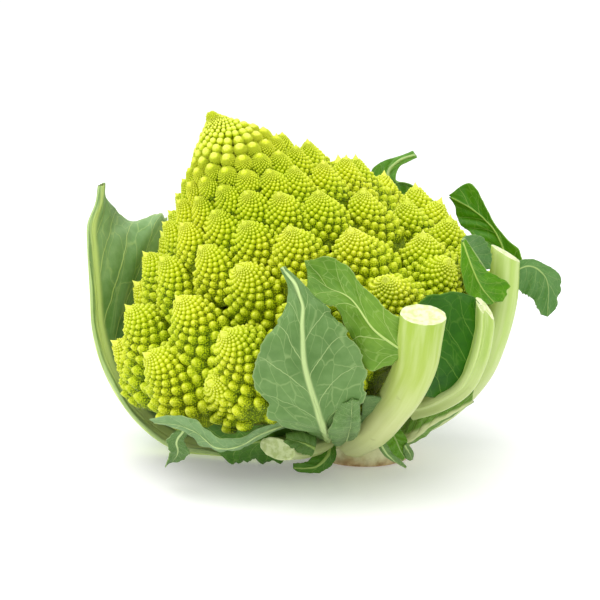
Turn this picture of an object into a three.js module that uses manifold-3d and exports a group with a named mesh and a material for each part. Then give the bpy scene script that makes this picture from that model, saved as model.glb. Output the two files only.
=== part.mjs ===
// A head of romanesco lying as it was cut: a leaning cone of spiral florets on a short stalk,
// held in a cup of leaves and of thick leaf stems that are cut off square.
// Millimetres, +Z up. The origin is the middle of the stalk's cut end, which rests on the ground.
import * as THREE from 'three';
import Module from 'manifold-3d';

const wasm = await Module();
wasm.setup();

// The head: where its apex is, how far it leans to the left and to the front, and its greatest girth
const APEX = new THREE.Vector3(-68, -30, 162);
const LEAN_LEFT = 0.36;
const LEAN_FRONT = 0.247;
const GIRTH = { radius: 88, depth: 88, above: 41.5, below: 54, meets: 62 };
const FULLER = { side: 1.28 * Math.PI, share: 0.28, until: 78 };
const FLARE = [0.752, 0.492, 0.12];
const BEND = { left: 7, front: 5.7, over: 100 };
// Where the head is lower or slimmer than its neighbourhood: the side, how narrow, how far down,
// how long, the share of girth that is missing, and how much lower the florets are
const HOLLOWS = [
  { side: 1.02 * Math.PI, power: 4, middle: 64, reach: 14, slimmer: 0, lower: 18 },
  { side: 1.05 * Math.PI, power: 4, middle: 85, reach: 22, slimmer: 0.12, lower: 0 },
  { side: 1.87 * Math.PI, power: 12, middle: 75, reach: 18, slimmer: 0.13, lower: 0 },
];

// The spiral: the turn from one floret to the next, its start, and the florets that are modelled
const TURN = 2.405;
const FIRST_TURN = 1.315;
const FIRST_FLORET = -46;
const LAST_FLORET = 128;
const GROWTH = {
  first: 13.09, above: 0.9, level: 2.572, slope: 0.733, rise: 0.204, every: 60, turnsAt: 92, foot: 0.019,
};
const ONE_RING_FROM = -12;
const TWO_RINGS_FROM = 45;
const FLORET_HEIGHT = 0.52;
const FLORET_UPTURN = 0.6;
const PLUMPNESS = 0.12;
const RELIEF = 0.035;

// The underside closes in a dish round this point, and an edge below this height belongs to it
const UNDERSIDE = { middle: [-8, 3, 36], inner: 0.6, below: 122 };

// The stalk, and the gap that pieces keep where one is trimmed by another
const STALK = { radius: 22, neck: 20, top: 27, height: 27, sides: 24 };
const GAP = 0.35;

// Blades and their ribs
const BLADE = 1.3;
const RIB = 3;
const STATIONS = 11;
const BETWEEN = 0.62;
const RIPPLES_FROM = 12;

function seeded(seed) {
  let state = seed * 7919 + 17;
  return () => {
    state = (state * 1103515245 + 12345) % 2147483648;
    return state / 2147483648;
  };
}

// Vertices and triangles as they are added, turned into a solid at the end
function meshBuilder() {
  const vertices = [];
  const triangles = [];
  return {
    vertex(point) {
      vertices.push(point.x, point.y, point.z);
      return vertices.length / 3 - 1;
    },
    triangle(a, b, c) {
      triangles.push(a, b, c);
    },
    solid() {
      return new wasm.Manifold(new wasm.Mesh({
        numProp: 3,
        vertProperties: new Float32Array(vertices),
        triVerts: new Uint32Array(triangles),
      }));
    },
  };
}

// The head's own axes: up through the apex, to its left and to its front
const headUp = new THREE.Vector3(
  -Math.sin(LEAN_LEFT),
  -Math.sin(LEAN_FRONT) * Math.cos(LEAN_LEFT),
  Math.cos(LEAN_FRONT) * Math.cos(LEAN_LEFT),
);
const headLeft = new THREE.Vector3().crossVectors(headUp, new THREE.Vector3(0, 1, 0)).normalize();
const headFront = new THREE.Vector3().crossVectors(headUp, headLeft);

// The girth at a distance down from the apex: a flaring cone above, an ellipse that closes below
function girthAt(down) {
  const part = down / 100;
  if (down < GIRTH.meets) return down * (FLARE[0] + FLARE[1] * part + FLARE[2] * part * part);
  const across = (down - GIRTH.depth) / (down < GIRTH.depth ? GIRTH.above : GIRTH.below);
  return GIRTH.radius * Math.sqrt(Math.max(1 - across * across, 0));
}

// How far down from the apex a floret is: each is a little farther than the one before
function downOf(number) {
  const { first, above, level, slope, rise, every, turnsAt, foot } = GROWTH;
  if (number < 0) return first * Math.exp(above * (number / every));
  const steep = Math.min(number, turnsAt) / every;
  const grown = Math.exp(level + slope * steep + rise * steep * steep);
  return grown * Math.exp(Math.max(number - turnsAt, 0) * foot);
}

// A point of the head's skin: its core bends a little, and its far right side is fuller
function headPoint(down, turn, girth) {
  const bend = (down / BEND.over) ** 2;
  const towards = Math.max(0, Math.cos(turn - FULLER.side)) ** 2;
  let full = girth * (1 + FULLER.share * towards * Math.max(0, 1 - down / FULLER.until));
  let fall = down;
  for (const { side, power, middle, reach, slimmer, lower } of HOLLOWS) {
    const near = Math.exp(-(((down - middle) / reach) ** 2));
    const weight = Math.max(0, Math.cos(turn - side)) ** power * near;
    full *= 1 - slimmer * weight;
    fall += lower * weight;
  }
  return APEX.clone()
    .addScaledVector(headUp, -fall)
    .addScaledVector(headLeft, full * Math.cos(turn) - BEND.left * bend)
    .addScaledVector(headFront, full * Math.sin(turn) - BEND.front * bend);
}

function floret(number) {
  const turn = FIRST_TURN + number * TURN;
  const down = downOf(number);
  const girth = girthAt(down);
  const outward = new THREE.Vector3()
    .addScaledVector(headLeft, Math.cos(turn))
    .addScaledVector(headFront, Math.sin(turn));
  const slope = girthAt(down + 0.5) - girthAt(down - 0.5);
  const normal = outward.clone().addScaledVector(headUp, slope).normalize();
  const step = (downOf(number + 1) - down) * Math.hypot(1, slope);
  const size = Math.sqrt(2 * Math.PI * girth * step);
  const points = normal.clone().add(new THREE.Vector3(0, 0, FLORET_UPTURN)).normalize();
  const tip = headPoint(down, turn, girth);
  const root = tip.clone().addScaledVector(points, -FLORET_HEIGHT * size);
  return { tip, root, points, size };
}

// The curd: every floret is a cell between its six neighbours on the spirals of 8, 13 and 21,
// a bumpy cone whose foot is shared with theirs, so that the whole head is one body
function curd() {
  const builder = meshBuilder();
  const florets = new Map();
  const floretOf = (number) => {
    if (!florets.has(number)) florets.set(number, floret(number));
    return florets.get(number);
  };
  const feet = new Map();
  const footBetween = (a, b, c) => {
    const key = [a, b, c].join(' ');
    if (!feet.has(key)) {
      const point = new THREE.Vector3();
      for (const number of [a, b, c]) point.addScaledVector(floretOf(number).root, 1 / 3);
      feet.set(key, { key, point, index: builder.vertex(point) });
    }
    return feet.get(key);
  };
  const shared = (k) => [
    footBetween(k - 13, k, k + 8),
    footBetween(k - 21, k - 13, k),
    footBetween(k - 21, k - 8, k),
    footBetween(k - 8, k, k + 13),
    footBetween(k, k + 13, k + 21),
    footBetween(k, k + 8, k + 21),
  ];
  const open = new Map();
  for (let number = FIRST_FLORET; number <= LAST_FLORET; number += 1) {
    const foot = shared(number);
    foot.forEach((from, i) => {
      const to = foot[(i + 1) % 6];
      if (!open.delete(`${to.key}|${from.key}`)) open.set(`${from.key}|${to.key}`, [from, to]);
    });
    addFloret(builder, floretOf(number), foot, ringsOf(number));
  }
  closeLoops(builder, [...open.values()]);
  return builder.solid();
}

function ringsOf(number) {
  if (number < ONE_RING_FROM) return [];
  return number < TWO_RINGS_FROM ? [0.5] : [0.4, 0.74];
}

// One floret: its tip, rings that stand out and sink in by turns, and the six points of its foot
function addFloret(builder, { tip, points, size }, foot, rings) {
  const top = builder.vertex(tip);
  const around = foot.flatMap(({ point }, i) => [
    point,
    point.clone().lerp(foot[(i + 1) % 6].point, 0.5),
  ]);
  const indices = rings.map((share, ring) => around.map((rim, i) => {
    const bulge = PLUMPNESS * Math.sin(Math.PI * share);
    const lift = size * (bulge + RELIEF * ((i + ring) % 2 ? 1 : -1));
    const point = tip.clone().lerp(rim, share).addScaledVector(points, lift);
    return builder.vertex(point);
  }));
  if (!indices.length) {
    foot.forEach(({ index }, i) => builder.triangle(top, index, foot[(i + 1) % 6].index));
    return;
  }
  indices[0].forEach((index, i) => builder.triangle(top, index, indices[0][(i + 1) % 12]));
  for (let ring = 1; ring < indices.length; ring += 1) {
    indices[ring].forEach((index, i) => {
      const next = (i + 1) % 12;
      builder.triangle(indices[ring - 1][i], index, indices[ring - 1][next]);
      builder.triangle(indices[ring - 1][next], index, indices[ring][next]);
    });
  }
  const last = indices[indices.length - 1];
  foot.forEach(({ index }, i) => {
    const between = last[2 * i + 1];
    const beyond = foot[(i + 1) % 6].index;
    builder.triangle(last[2 * i], index, between);
    builder.triangle(between, index, beyond);
    builder.triangle(between, beyond, last[(2 * i + 2) % 12]);
  });
}

// The two ragged edges that the cells leave: the apex closes in a point, the underside in a dish
function closeLoops(builder, edges) {
  const next = new Map(edges.map(([from, to]) => [to.key, { from, to }]));
  while (next.size) {
    const loop = [];
    let link = next.values().next().value;
    while (link) {
      next.delete(link.to.key);
      loop.push(link.to);
      link = next.get(link.from.key);
    }
    const isApex = loop[0].point.z > UNDERSIDE.below;
    if (isApex) closeFan(builder, loop.map(({ index }) => index), APEX);
    else closeDish(builder, loop);
  }
}

function closeFan(builder, loop, point) {
  const middle = builder.vertex(point);
  loop.forEach((index, i) => builder.triangle(middle, index, loop[(i + 1) % loop.length]));
}

function closeDish(builder, loop) {
  const middle = new THREE.Vector3(...UNDERSIDE.middle);
  const inner = loop.map(({ point }) => builder.vertex(point.clone().lerp(middle, UNDERSIDE.inner)));
  loop.forEach(({ index }, i) => {
    const j = (i + 1) % loop.length;
    builder.triangle(index, loop[j].index, inner[i]);
    builder.triangle(inner[i], loop[j].index, inner[j]);
  });
  closeFan(builder, inner, middle);
}

// The stalk: cut flat below, a little narrower at the neck, wide where the leaves spring from it
function stalk() {
  const { radius, neck, top, height, sides } = STALK;
  const profile = new THREE.SplineCurve([
    new THREE.Vector2(radius, 1.2),
    new THREE.Vector2(neck, height * 0.4),
    new THREE.Vector2(top * 0.9, height * 0.75),
    new THREE.Vector2(top, height),
  ]).getPoints(6);
  const outline = [new THREE.Vector2(0, 0), new THREE.Vector2(radius - 1.5, 0), ...profile];
  outline.push(new THREE.Vector2(0, height + 2));
  const lathe = new THREE.LatheGeometry(outline, sides);
  return fromGeometry(lathe.rotateX(Math.PI / 2));
}

// A three.js geometry as a solid, with the vertices of its seams joined
function fromGeometry(geometry) {
  const positions = geometry.getAttribute('position');
  const builder = meshBuilder();
  const known = new Map();
  const joined = Array.from({ length: positions.count }, (_, i) => {
    const point = new THREE.Vector3().fromBufferAttribute(positions, i);
    const key = point.toArray().map((value) => value.toFixed(3)).join(' ').replaceAll('-0.000', '0.000');
    if (!known.has(key)) known.set(key, builder.vertex(point));
    return known.get(key);
  });
  const corners = geometry.index.array;
  for (let i = 0; i < corners.length; i += 3) {
    const [a, b, c] = [joined[corners[i]], joined[corners[i + 1]], joined[corners[i + 2]]];
    if (a !== b && b !== c && c !== a) builder.triangle(a, b, c);
  }
  return builder.solid();
}

function curveThrough(points) {
  const vectors = points.map((point) => new THREE.Vector3(...point));
  return new THREE.CatmullRomCurve3(vectors, false, 'centripetal');
}

// A blade between two edges that run along its rib, wavy towards the edges and thick at the rib
function blade({ left, rib, right, wave = 1.5, waves = 3, ribWidth = RIB, ribHeight = 1.6, seed = 1 }) {
  const random = seeded(seed);
  const curves = { left: curveThrough(left), rib: curveThrough(rib), right: curveThrough(right) };
  const phases = { left: random() * 6, right: random() * 6 };
  const grid = [];
  for (let i = 0; i < STATIONS; i += 1) {
    const along = i / (STATIONS - 1);
    const middle = curves.rib.getPoint(along);
    const ahead = curves.rib.getTangent(along);
    const halves = ['left', 'right'].map((side) => {
      const reach = curves[side].getPoint(along).sub(middle);
      const flat = new THREE.Vector3().crossVectors(ahead, reach).normalize();
      if (side === 'left') flat.negate();
      const start = Math.min(0.35, ribWidth / reach.length());
      return [start, BETWEEN, 1].map((share) => {
        const ripple = wave * Math.sin(phases[side] + along * waves * 2 * Math.PI) * share * share;
        const fade = Math.min(1, reach.length() / RIPPLES_FROM);
        return middle.clone().addScaledVector(reach, share).addScaledVector(flat, ripple * fade);
      });
    });
    grid.push([...halves[0].reverse(), middle, ...halves[1]]);
  }
  return thickened(grid, BLADE / 2, ribHeight);
}

// A grid of points given thickness on both sides, and more of it along its middle column
function thickened(grid, half, ribHeight) {
  const builder = meshBuilder();
  const rows = grid.length;
  const columns = grid[0].length;
  const rib = (columns - 1) / 2;
  const at = (i, j) => grid[THREE.MathUtils.clamp(i, 0, rows - 1)][THREE.MathUtils.clamp(j, 0, columns - 1)];
  const faces = [1, -1].map((side) => grid.map((row, i) => row.map((point, j) => {
    const along = at(i + 1, j).clone().sub(at(i - 1, j));
    const across = at(i, j + 1).clone().sub(at(i, j - 1));
    const normal = along.cross(across).normalize();
    const thick = half + (j === rib ? ribHeight : 0);
    return builder.vertex(point.clone().addScaledVector(normal, side * thick));
  })));
  const quad = (a, b, c, d) => {
    builder.triangle(a, b, c);
    builder.triangle(a, c, d);
  };
  const [front, back] = faces;
  for (let i = 0; i + 1 < rows; i += 1) {
    for (let j = 0; j + 1 < columns; j += 1) {
      quad(front[i][j], front[i + 1][j], front[i + 1][j + 1], front[i][j + 1]);
      builder.triangle(back[i][j], back[i + 1][j + 1], back[i + 1][j]);
      builder.triangle(back[i][j], back[i][j + 1], back[i + 1][j + 1]);
    }
    const end = columns - 1;
    quad(front[i + 1][0], front[i][0], back[i][0], back[i + 1][0]);
    quad(front[i][end], front[i + 1][end], back[i + 1][end], back[i][end]);
  }
  for (let j = 0; j + 1 < columns; j += 1) {
    const end = rows - 1;
    quad(front[0][j], front[0][j + 1], back[0][j + 1], back[0][j]);
    quad(front[end][j + 1], front[end][j], back[end][j], back[end][j + 1]);
  }
  return builder.solid();
}

// A leaf stem: an oval section, wide and deep at the foot, with a groove where it has one. Its top
// is cut, and the last ring slides along the stem until it lies square to the way the cut faces.
function petiole({ line, wide, deep, facing, cut, groove = 0, sides = 12, stations = 8 }) {
  const curve = curveThrough(line);
  const builder = meshBuilder();
  const rings = [];
  for (let i = 0; i < stations; i += 1) {
    const along = i / (stations - 1);
    const ahead = curve.getTangent(along);
    const out = new THREE.Vector3(...facing);
    out.addScaledVector(ahead, -out.dot(ahead)).normalize();
    const side = new THREE.Vector3().crossVectors(ahead, out);
    const halfWide = THREE.MathUtils.lerp(wide[0], wide[1], along) / 2;
    const halfDeep = THREE.MathUtils.lerp(deep[0], deep[1], along) / 2;
    const square = i === stations - 1 && cut ? new THREE.Vector3(...cut) : ahead;
    rings.push(Array.from({ length: sides }, (_, k) => {
      const turn = (k / sides) * 2 * Math.PI;
      const hollow = groove * Math.max(0, Math.sin(turn)) ** 3;
      const reach = side.clone().multiplyScalar(halfWide * Math.cos(turn));
      reach.addScaledVector(out, halfDeep * Math.sin(turn) - hollow);
      reach.addScaledVector(ahead, -reach.dot(square) / ahead.dot(square));
      return builder.vertex(curve.getPoint(along).add(reach));
    }));
  }
  const ends = [0, 1].map((along) => builder.vertex(curve.getPoint(along)));
  for (let k = 0; k < sides; k += 1) {
    const next = (k + 1) % sides;
    for (let i = 0; i + 1 < stations; i += 1) {
      builder.triangle(rings[i][k], rings[i + 1][next], rings[i][next]);
      builder.triangle(rings[i][k], rings[i + 1][k], rings[i + 1][next]);
    }
    builder.triangle(ends[0], rings[0][k], rings[0][next]);
    builder.triangle(ends[1], rings[stations - 1][next], rings[stations - 1][k]);
  }
  return builder.solid();
}

// The leaves and leaf stems, each by points of its own: a rib with the two edges of its blade,
// or the middle line of a stem. The list goes from the stalk outward, front ones first.
const LEAVES = {
  front_petiole: () => petiole({
    line: [[-6, -22, 12], [2, -46, 24], [9, -66, 39], [14, -82, 52], [18, -95, 67], [19, -102, 79],
      [20, -104, 88]],
    wide: [16, 18.5],
    deep: [13, 13],
    facing: [-0.2, -1, -0.3],
    cut: [0.03, -0.42, 0.9],
  }).add(blade({
    rib: [[13, -100, 72], [1, -102, 81], [-9, -96, 93], [-17, -92, 96], [-26, -85, 101]],
    left: [[14, -102, 84], [7, -101, 89], [-3, -96, 97], [-10, -90, 105], [-17, -87, 108], [-27, -83, 106]],
    right: [[8, -98, 66], [-2, -101, 65], [-10, -106, 80], [-15, -106, 90], [-21, -102, 91], [-26, -92, 96]],
    wave: 0.8,
    seed: 3,
  })),
  small_front_leaf: () => blade({
    rib: [[-17, -36, 18], [-18, -60, 28], [-20, -84, 38], [-23, -95, 51], [-27, -102, 67], [-28, -105, 82],
      [-28, -102, 92], [-31, -97, 99], [-36, -90, 104]],
    left: [[-20, -38, 18], [-29, -62, 27], [-38, -88, 40], [-45, -93, 49], [-48, -97, 64], [-42, -102, 81],
      [-35, -101, 89], [-34, -96, 98], [-37, -90, 104]],
    right: [[-13, -36, 19], [-12, -60, 30], [-8, -86, 43], [-4, -94, 52], [-3, -99, 65], [-9, -104, 84],
      [-20, -102, 93], [-27, -97, 99], [-35, -90, 105]],
    ribHeight: 2.2,
    seed: 5,
  }),
  left_leaf: () => blade({
    rib: [[-32, -5, 7], [-51, -6, 4], [-69, 0, 3], [-85, 4, 4], [-98, 6, 12], [-109, 6, 25], [-117, 6, 41],
      [-121, 7, 57], [-122, 8, 75], [-123, 10, 93], [-123, 12, 104], [-120, 17, 113], [-119, 20, 121]],
    left: [[-34, -14, 6], [-51, -14, 3], [-70, -8, 3], [-87, -2, 4], [-101, 0, 13], [-111, 0, 27],
      [-118, 1, 43],
      [-122, 2, 58], [-123, 3, 76], [-124, 5, 94], [-124, 9, 105], [-121, 14, 113], [-120, 18, 121]],
    right: [[-30, 10, 8], [-47, 14, 5], [-65, 34, 4], [-84, 52, 12], [-99, 64, 34], [-105, 67, 48],
      [-106, 67, 63],
      [-101, 65, 80], [-92, 62, 92], [-93, 58, 102], [-101, 52, 101], [-109, 45, 100], [-114, 34, 107],
      [-118, 24, 115], [-118, 22, 122]],
    wave: 1.5,
    ribWidth: 4,
    ribHeight: 2.2,
    seed: 7,
  }),
  front_left_leaf: () => blade({
    rib: [[-32, -42, 23], [-45, -56, 21], [-55, -62, 20], [-64, -68, 23], [-72, -72, 28], [-80, -72, 34],
      [-85, -70, 36]],
    left: [[-32, -56, 33], [-42, -74, 33], [-51, -84, 33], [-57, -86, 36], [-64, -86, 38], [-76, -80, 39],
      [-91, -76, 37]],
    right: [[-33, -38, 18], [-45, -46, 14], [-57, -52, 13], [-66, -58, 17], [-75, -66, 24], [-82, -70, 31],
      [-88, -70, 34]],
    seed: 9,
  }),
  low_front_leaf: () => blade({
    rib: [[-16, -33, 15], [-17, -40, 11], [-22, -43, 7], [-32, -42, 6]],
    left: [[-13, -32, 16], [-14, -38, 8], [-20, -42, 4], [-30, -41, 4]],
    right: [[-19, -32, 16], [-21, -38, 13], [-26, -42, 9], [-32, -42, 8]],
    wave: 0.5,
    ribHeight: 1,
    seed: 11,
  }),
  low_right_cup_leaf: () => blade({
    rib: [[14, -26, 20], [8, -37, 19], [9, -42, 14], [16, -40, 7]],
    left: [[10, -28, 22], [4, -35, 19], [6, -40, 14], [16, -39, 6]],
    right: [[19, -24, 15], [17, -31, 12], [17, -37, 10], [17, -39, 7]],
    wave: 0.5,
    ribHeight: 1,
    seed: 13,
  }),
  right_low_leaf: () => blade({
    rib: [[15, -20, 11], [21, -26, 16], [28, -30, 23], [37, -34, 29], [46, -36, 35]],
    left: [[16, -20, 21], [22, -28, 28], [29, -34, 32], [37, -36, 34], [47, -37, 43]],
    right: [[14, -16, 8], [21, -20, 11], [30, -24, 19], [38, -30, 26], [47, -35, 34]],
    wave: 0.8,
    ribHeight: 2,
    seed: 15,
  }),
  grooved_petiole: () => petiole({
    line: [[19, -28, 28], [31, -42, 36], [41, -52, 46], [46, -60, 60], [48, -64, 73], [48, -66, 82]],
    wide: [11, 8],
    deep: [9, 7.5],
    facing: [0.5, -1, 0],
    cut: [0.7, -0.4, 0.55],
    groove: 2.2,
    sides: 10,
  }).add(blade({
    rib: [[31, -44, 38], [40, -54, 48], [44, -60, 60], [46, -64, 72], [46, -66, 84]],
    left: [[19, -58, 43], [18, -76, 59], [17, -86, 74], [19, -88, 89], [31, -80, 93], [43, -68, 88]],
    right: [[33, -43, 37], [42, -53, 47], [46, -60, 60], [47, -64, 72], [47, -65, 83]],
    wave: 0.8,
    ribHeight: 1,
    seed: 17,
  })),
  right_petiole: () => petiole({
    line: [[19, -4, 15], [36, -8, 25], [50, -14, 42], [56, -18, 58], [60, -20, 76], [61, -20, 97]],
    wide: [18, 14],
    deep: [13, 12.5],
    facing: [0.8, -0.6, 0],
    cut: [0.5, -0.3, 0.8],
  }).add(blade({
    rib: [[62, -24, 82], [55, -34, 88], [49, -42, 95], [43, -50, 103], [39, -54, 110], [39, -54, 112]],
    left: [[61, -30, 80], [55, -44, 80], [46, -56, 85], [39, -62, 97], [37, -60, 108], [38, -56, 113]],
    right: [[62, -24, 86], [57, -32, 93], [53, -40, 102], [48, -46, 109], [43, -50, 112], [39, -54, 113]],
    wave: 0.8,
    seed: 19,
  })).add(blade({
    rib: [[63, -18, 88], [73, -13, 90], [80, -12, 84], [81, -12, 67]],
    left: [[63, -18, 83], [68, -14, 79], [74, -12, 75], [78, -12, 68]],
    right: [[63, -17, 92], [74, -12, 93], [87, -8, 83], [85, -10, 70]],
    wave: 0.8,
    seed: 21,
  })),
  right_back_leaf: () => blade({
    rib: [[24, 12, 20], [44, 20, 34], [60, 24, 58], [66, 20, 82], [62, 24, 97], [56, 30, 104], [49, 34, 109],
      [41, 36, 113]],
    left: [[24, 6, 22], [46, 10, 34], [60, 14, 56], [62, 16, 78], [58, 26, 91], [50, 34, 97], [45, 38, 102],
      [43, 38, 109], [40, 36, 113]],
    right: [[22, 18, 20], [40, 32, 34], [56, 36, 60], [72, 16, 76], [73, 12, 89], [66, 20, 96], [60, 26, 103],
      [56, 30, 111], [49, 34, 120], [40, 36, 114]],
    ribWidth: 4,
    ribHeight: 2.4,
    seed: 23,
  }),
  back_leaf: () => blade({
    rib: [[10, 26, 19], [22, 50, 28], [30, 72, 50], [31, 79, 78], [20, 76, 98], [16, 78, 109], [14, 79, 118],
      [17, 76, 123], [21, 73, 126], [26, 70, 128]],
    left: [[4, 26, 19], [8, 52, 28], [8, 78, 50], [8, 86, 80], [8, 82, 97], [5, 84, 108], [6, 84, 119],
      [12, 80, 124], [19, 75, 127], [25, 71, 130]],
    right: [[16, 23, 19], [34, 42, 28], [46, 58, 50], [46, 62, 80], [38, 62, 100], [33, 66, 107],
      [28, 68, 112],
      [22, 71, 115], [17, 74, 114], [17, 75, 118], [19, 74, 122], [22, 72, 124], [27, 69, 127]],
    wave: 1,
    ribWidth: 4,
    ribHeight: 2.4,
    seed: 25,
  }),
  back_left_leaf: () => blade({
    rib: [[-12, 24, 14], [-34, 48, 16], [-56, 70, 30], [-68, 84, 54], [-72, 86, 80], [-70, 80, 104]],
    left: [[-18, 20, 12], [-44, 38, 8], [-72, 58, 20], [-90, 72, 50], [-94, 74, 78], [-74, 78, 104]],
    right: [[-4, 26, 16], [-18, 56, 22], [-32, 80, 38], [-42, 92, 60], [-48, 94, 84], [-66, 82, 105]],
    ribWidth: 5,
    ribHeight: 3,
    seed: 27,
  }),
  back_petiole: () => petiole({
    line: [[0, 24, 18], [-4, 44, 24], [-8, 64, 36], [-10, 78, 54], [-10, 84, 74]],
    wide: [24, 18],
    deep: [13, 11],
    facing: [0, 1, 0],
  }),
};

const CUT_LEAF_BASE = () => petiole({
  line: [[-22, -26, 14], [-28, -34, 15], [-35, -43, 16], [-42, -49, 16], [-48, -52, 14]],
  wide: [10, 5],
  deep: [8, 4],
  facing: [-0.4, -1, 0.3],
  stations: 6,
});

// A solid with every vertex moved out along its normal, so that what it trims keeps a gap to it
function swollen(solid) {
  const { vertProperties, triVerts, numProp } = solid.getMesh();
  const geometry = new THREE.BufferGeometry();
  const positions = new Float32Array((vertProperties.length / numProp) * 3);
  for (let i = 0; i < positions.length / 3; i += 1) {
    for (let axis = 0; axis < 3; axis += 1) positions[3 * i + axis] = vertProperties[numProp * i + axis];
  }
  geometry.setAttribute('position', new THREE.BufferAttribute(positions, 3));
  geometry.setIndex(new THREE.BufferAttribute(new Uint32Array(triVerts), 1));
  geometry.computeVertexNormals();
  const normals = geometry.getAttribute('normal').array;
  const moved = positions.map((value, i) => value + GAP * normals[i]);
  return new wasm.Manifold(new wasm.Mesh({ numProp: 3, vertProperties: moved, triVerts })).add(solid);
}

// Where pieces would meet, the later one is trimmed by the earlier one, and its largest part stays
function trimmed(solid, earlier) {
  let rest = solid;
  for (const other of earlier) rest = rest.subtract(other);
  const parts = rest.decompose();
  return parts.reduce((best, part) => (part.volume() > best.volume() ? part : best));
}

const COLOURS = {
  curd: [0xb4c81e, 0.6],
  stalk: [0xe0dcb0, 0.7],
  petiole: [0xb8cf7a, 0.5],
  leaf: [0x5f8f4c, 0.55],
};

function named(name, solid, [colour, roughness]) {
  const { vertProperties, triVerts } = solid.getMesh();
  const geometry = new THREE.BufferGeometry();
  geometry.setAttribute('position', new THREE.BufferAttribute(vertProperties, 3));
  geometry.setIndex(new THREE.BufferAttribute(triVerts, 1));
  const material = new THREE.MeshStandardMaterial({ color: colour, roughness, metalness: 0 });
  const mesh = new THREE.Mesh(geometry, material);
  mesh.name = name;
  return mesh;
}

const romanesco = new THREE.Group();
const done = [];

function place(name, solid, colour) {
  const piece = trimmed(solid, done);
  done.push(swollen(piece));
  romanesco.add(named(name, piece, colour));
}

place('curd', curd(), COLOURS.curd);
place('stalk', stalk(), COLOURS.stalk);
place('cut_leaf_base', CUT_LEAF_BASE(), COLOURS.petiole);
for (const [name, make] of Object.entries(LEAVES)) {
  place(name, make(), name.endsWith('petiole') ? COLOURS.petiole : COLOURS.leaf);
}

export default romanesco;
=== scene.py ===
"""A head of romanesco lying on its cut stalk, in its leaves, on a white table in soft studio light."""

import math

import bpy
import numpy as np
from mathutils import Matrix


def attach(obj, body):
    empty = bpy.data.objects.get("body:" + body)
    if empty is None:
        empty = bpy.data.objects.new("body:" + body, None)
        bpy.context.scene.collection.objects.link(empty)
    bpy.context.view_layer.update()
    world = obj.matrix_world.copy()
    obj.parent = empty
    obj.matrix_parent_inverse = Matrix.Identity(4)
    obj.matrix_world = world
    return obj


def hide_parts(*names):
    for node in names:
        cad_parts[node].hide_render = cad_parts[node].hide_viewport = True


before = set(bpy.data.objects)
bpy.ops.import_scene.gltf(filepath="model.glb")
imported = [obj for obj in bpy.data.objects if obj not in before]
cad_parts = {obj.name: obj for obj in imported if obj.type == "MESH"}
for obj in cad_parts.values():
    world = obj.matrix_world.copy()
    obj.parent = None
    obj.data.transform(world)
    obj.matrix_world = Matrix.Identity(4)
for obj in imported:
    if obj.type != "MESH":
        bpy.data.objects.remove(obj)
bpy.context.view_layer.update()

# The camera looks at the head from the front, a little from above, through a long lens.
# Its target is the middle of the picture.
LOOK_DOWN = math.radians(12)
DISTANCE = 0.9
TARGET = np.array([-0.029, 0.0, 0.072])

backwards = np.array([0.0, -math.cos(LOOK_DOWN), math.sin(LOOK_DOWN)])
lens = bpy.data.cameras.new("lens")
lens.lens = 120
lens.sensor_width = 36
lens.clip_end = 30
camera = bpy.data.objects.new("camera", lens)
camera.location = TARGET + DISTANCE * backwards
camera.rotation_euler = (math.pi / 2 - LOOK_DOWN, 0, 0)
bpy.context.scene.collection.objects.link(camera)
bpy.context.scene.camera = camera


# The curd is a cone of cones: florets on one spiral from the apex down, and on each of them
# beads on a spiral of their own, tiny at its tip and large at its foot. It is one grown body of
# firm lime-green flower buds, so every piece of it here stands for the same solid.
APEX = np.array([-0.068, -0.030, 0.162])
LEAN_LEFT = 0.36
LEAN_FRONT = 0.247
TURN = 2.405
FIRST_TURN = 1.315
FLARE = (0.752, 0.492, 0.12)
GIRTH, WIDEST = 0.088, 0.088
CURVE_ABOVE, CURVE_BELOW, MEETS = 0.0415, 0.054, 0.062
BEND_LEFT, BEND_FRONT = 0.007, 0.0057
FULLER_SIDE, FULLER_SHARE, FULLER_UNTIL = 1.28 * math.pi, 0.28, 0.078
# Hollows of the head: their side, power, place and reach down the head, share of girth, and fall
HOLLOWS = [
    (1.02 * math.pi, 4, 0.064, 0.014, 0.0, 0.018),
    (1.05 * math.pi, 4, 0.085, 0.022, 0.12, 0.0),
    (1.87 * math.pi, 12, 0.075, 0.018, 0.13, 0.0),
    (0.46 * math.pi, 12, 0.102, 0.012, 0.08, 0.0),
]
BLUNT_BY, BLUNT_OVER = 0.0012, 0.008
UNDERSIDE = 0.030
# Leaves and stems in front hold the foot of the curd back: how far forward it may come by height,
# behind the small leaf and behind the stems, where these begin, and where the stems hold in full
HELD_HEIGHTS = (0.018, 0.028, 0.039, 0.050, 0.062, 0.070, 0.080)
HELD_BY_LEAF = (-0.032, -0.053, -0.078, -0.090, -0.105, -0.118, -0.140)
HELD_BY_STEMS = (-0.012, -0.024, -0.044, -0.054, -0.064, -0.068, -0.120)
LEAF_BEGINS, STEMS_BEGIN, STEMS_HOLD = -0.048, -0.012, 0.010
KNOB_WIDTH, KNOB_BEADS, KNOB_BEAD = 0.0046, 80, 0.0008
FIRST_FLORET, LAST_FLORET = -205, 128
YOUNG_FROM, GROWTH_OLD, GROWTH_YOUNG = -100, 0.0122, 0.007
# The old florets' growth as powers of e, up to a number, and its steady rate beyond that number
OLD_GROWTH, OLD_UNTIL, OLD_RATE = (2.572, 0.733, 0.204), 92, 0.019
FIRST_DOWN = 13.09
UPTURN = 0.95
CONE_ANGLE = math.radians(34)
DOME_WIDTH, DOME_BEND = 0.52, 1.7
DOME_UNTIL, CONE_FROM = 0.0035, 0.0115
BEAD_TURN = 2.39996
BEAD_SHARES = (0.14, 0.21)
BEAD_SIZES = (0.0035, 0.0115)
STEADY_FROM = 0.95
FOOT = 1.27
SMALLEST_BEAD, SMALLEST_SHARE = 0.00044, 0.027
SPREAD = 1.27
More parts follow.
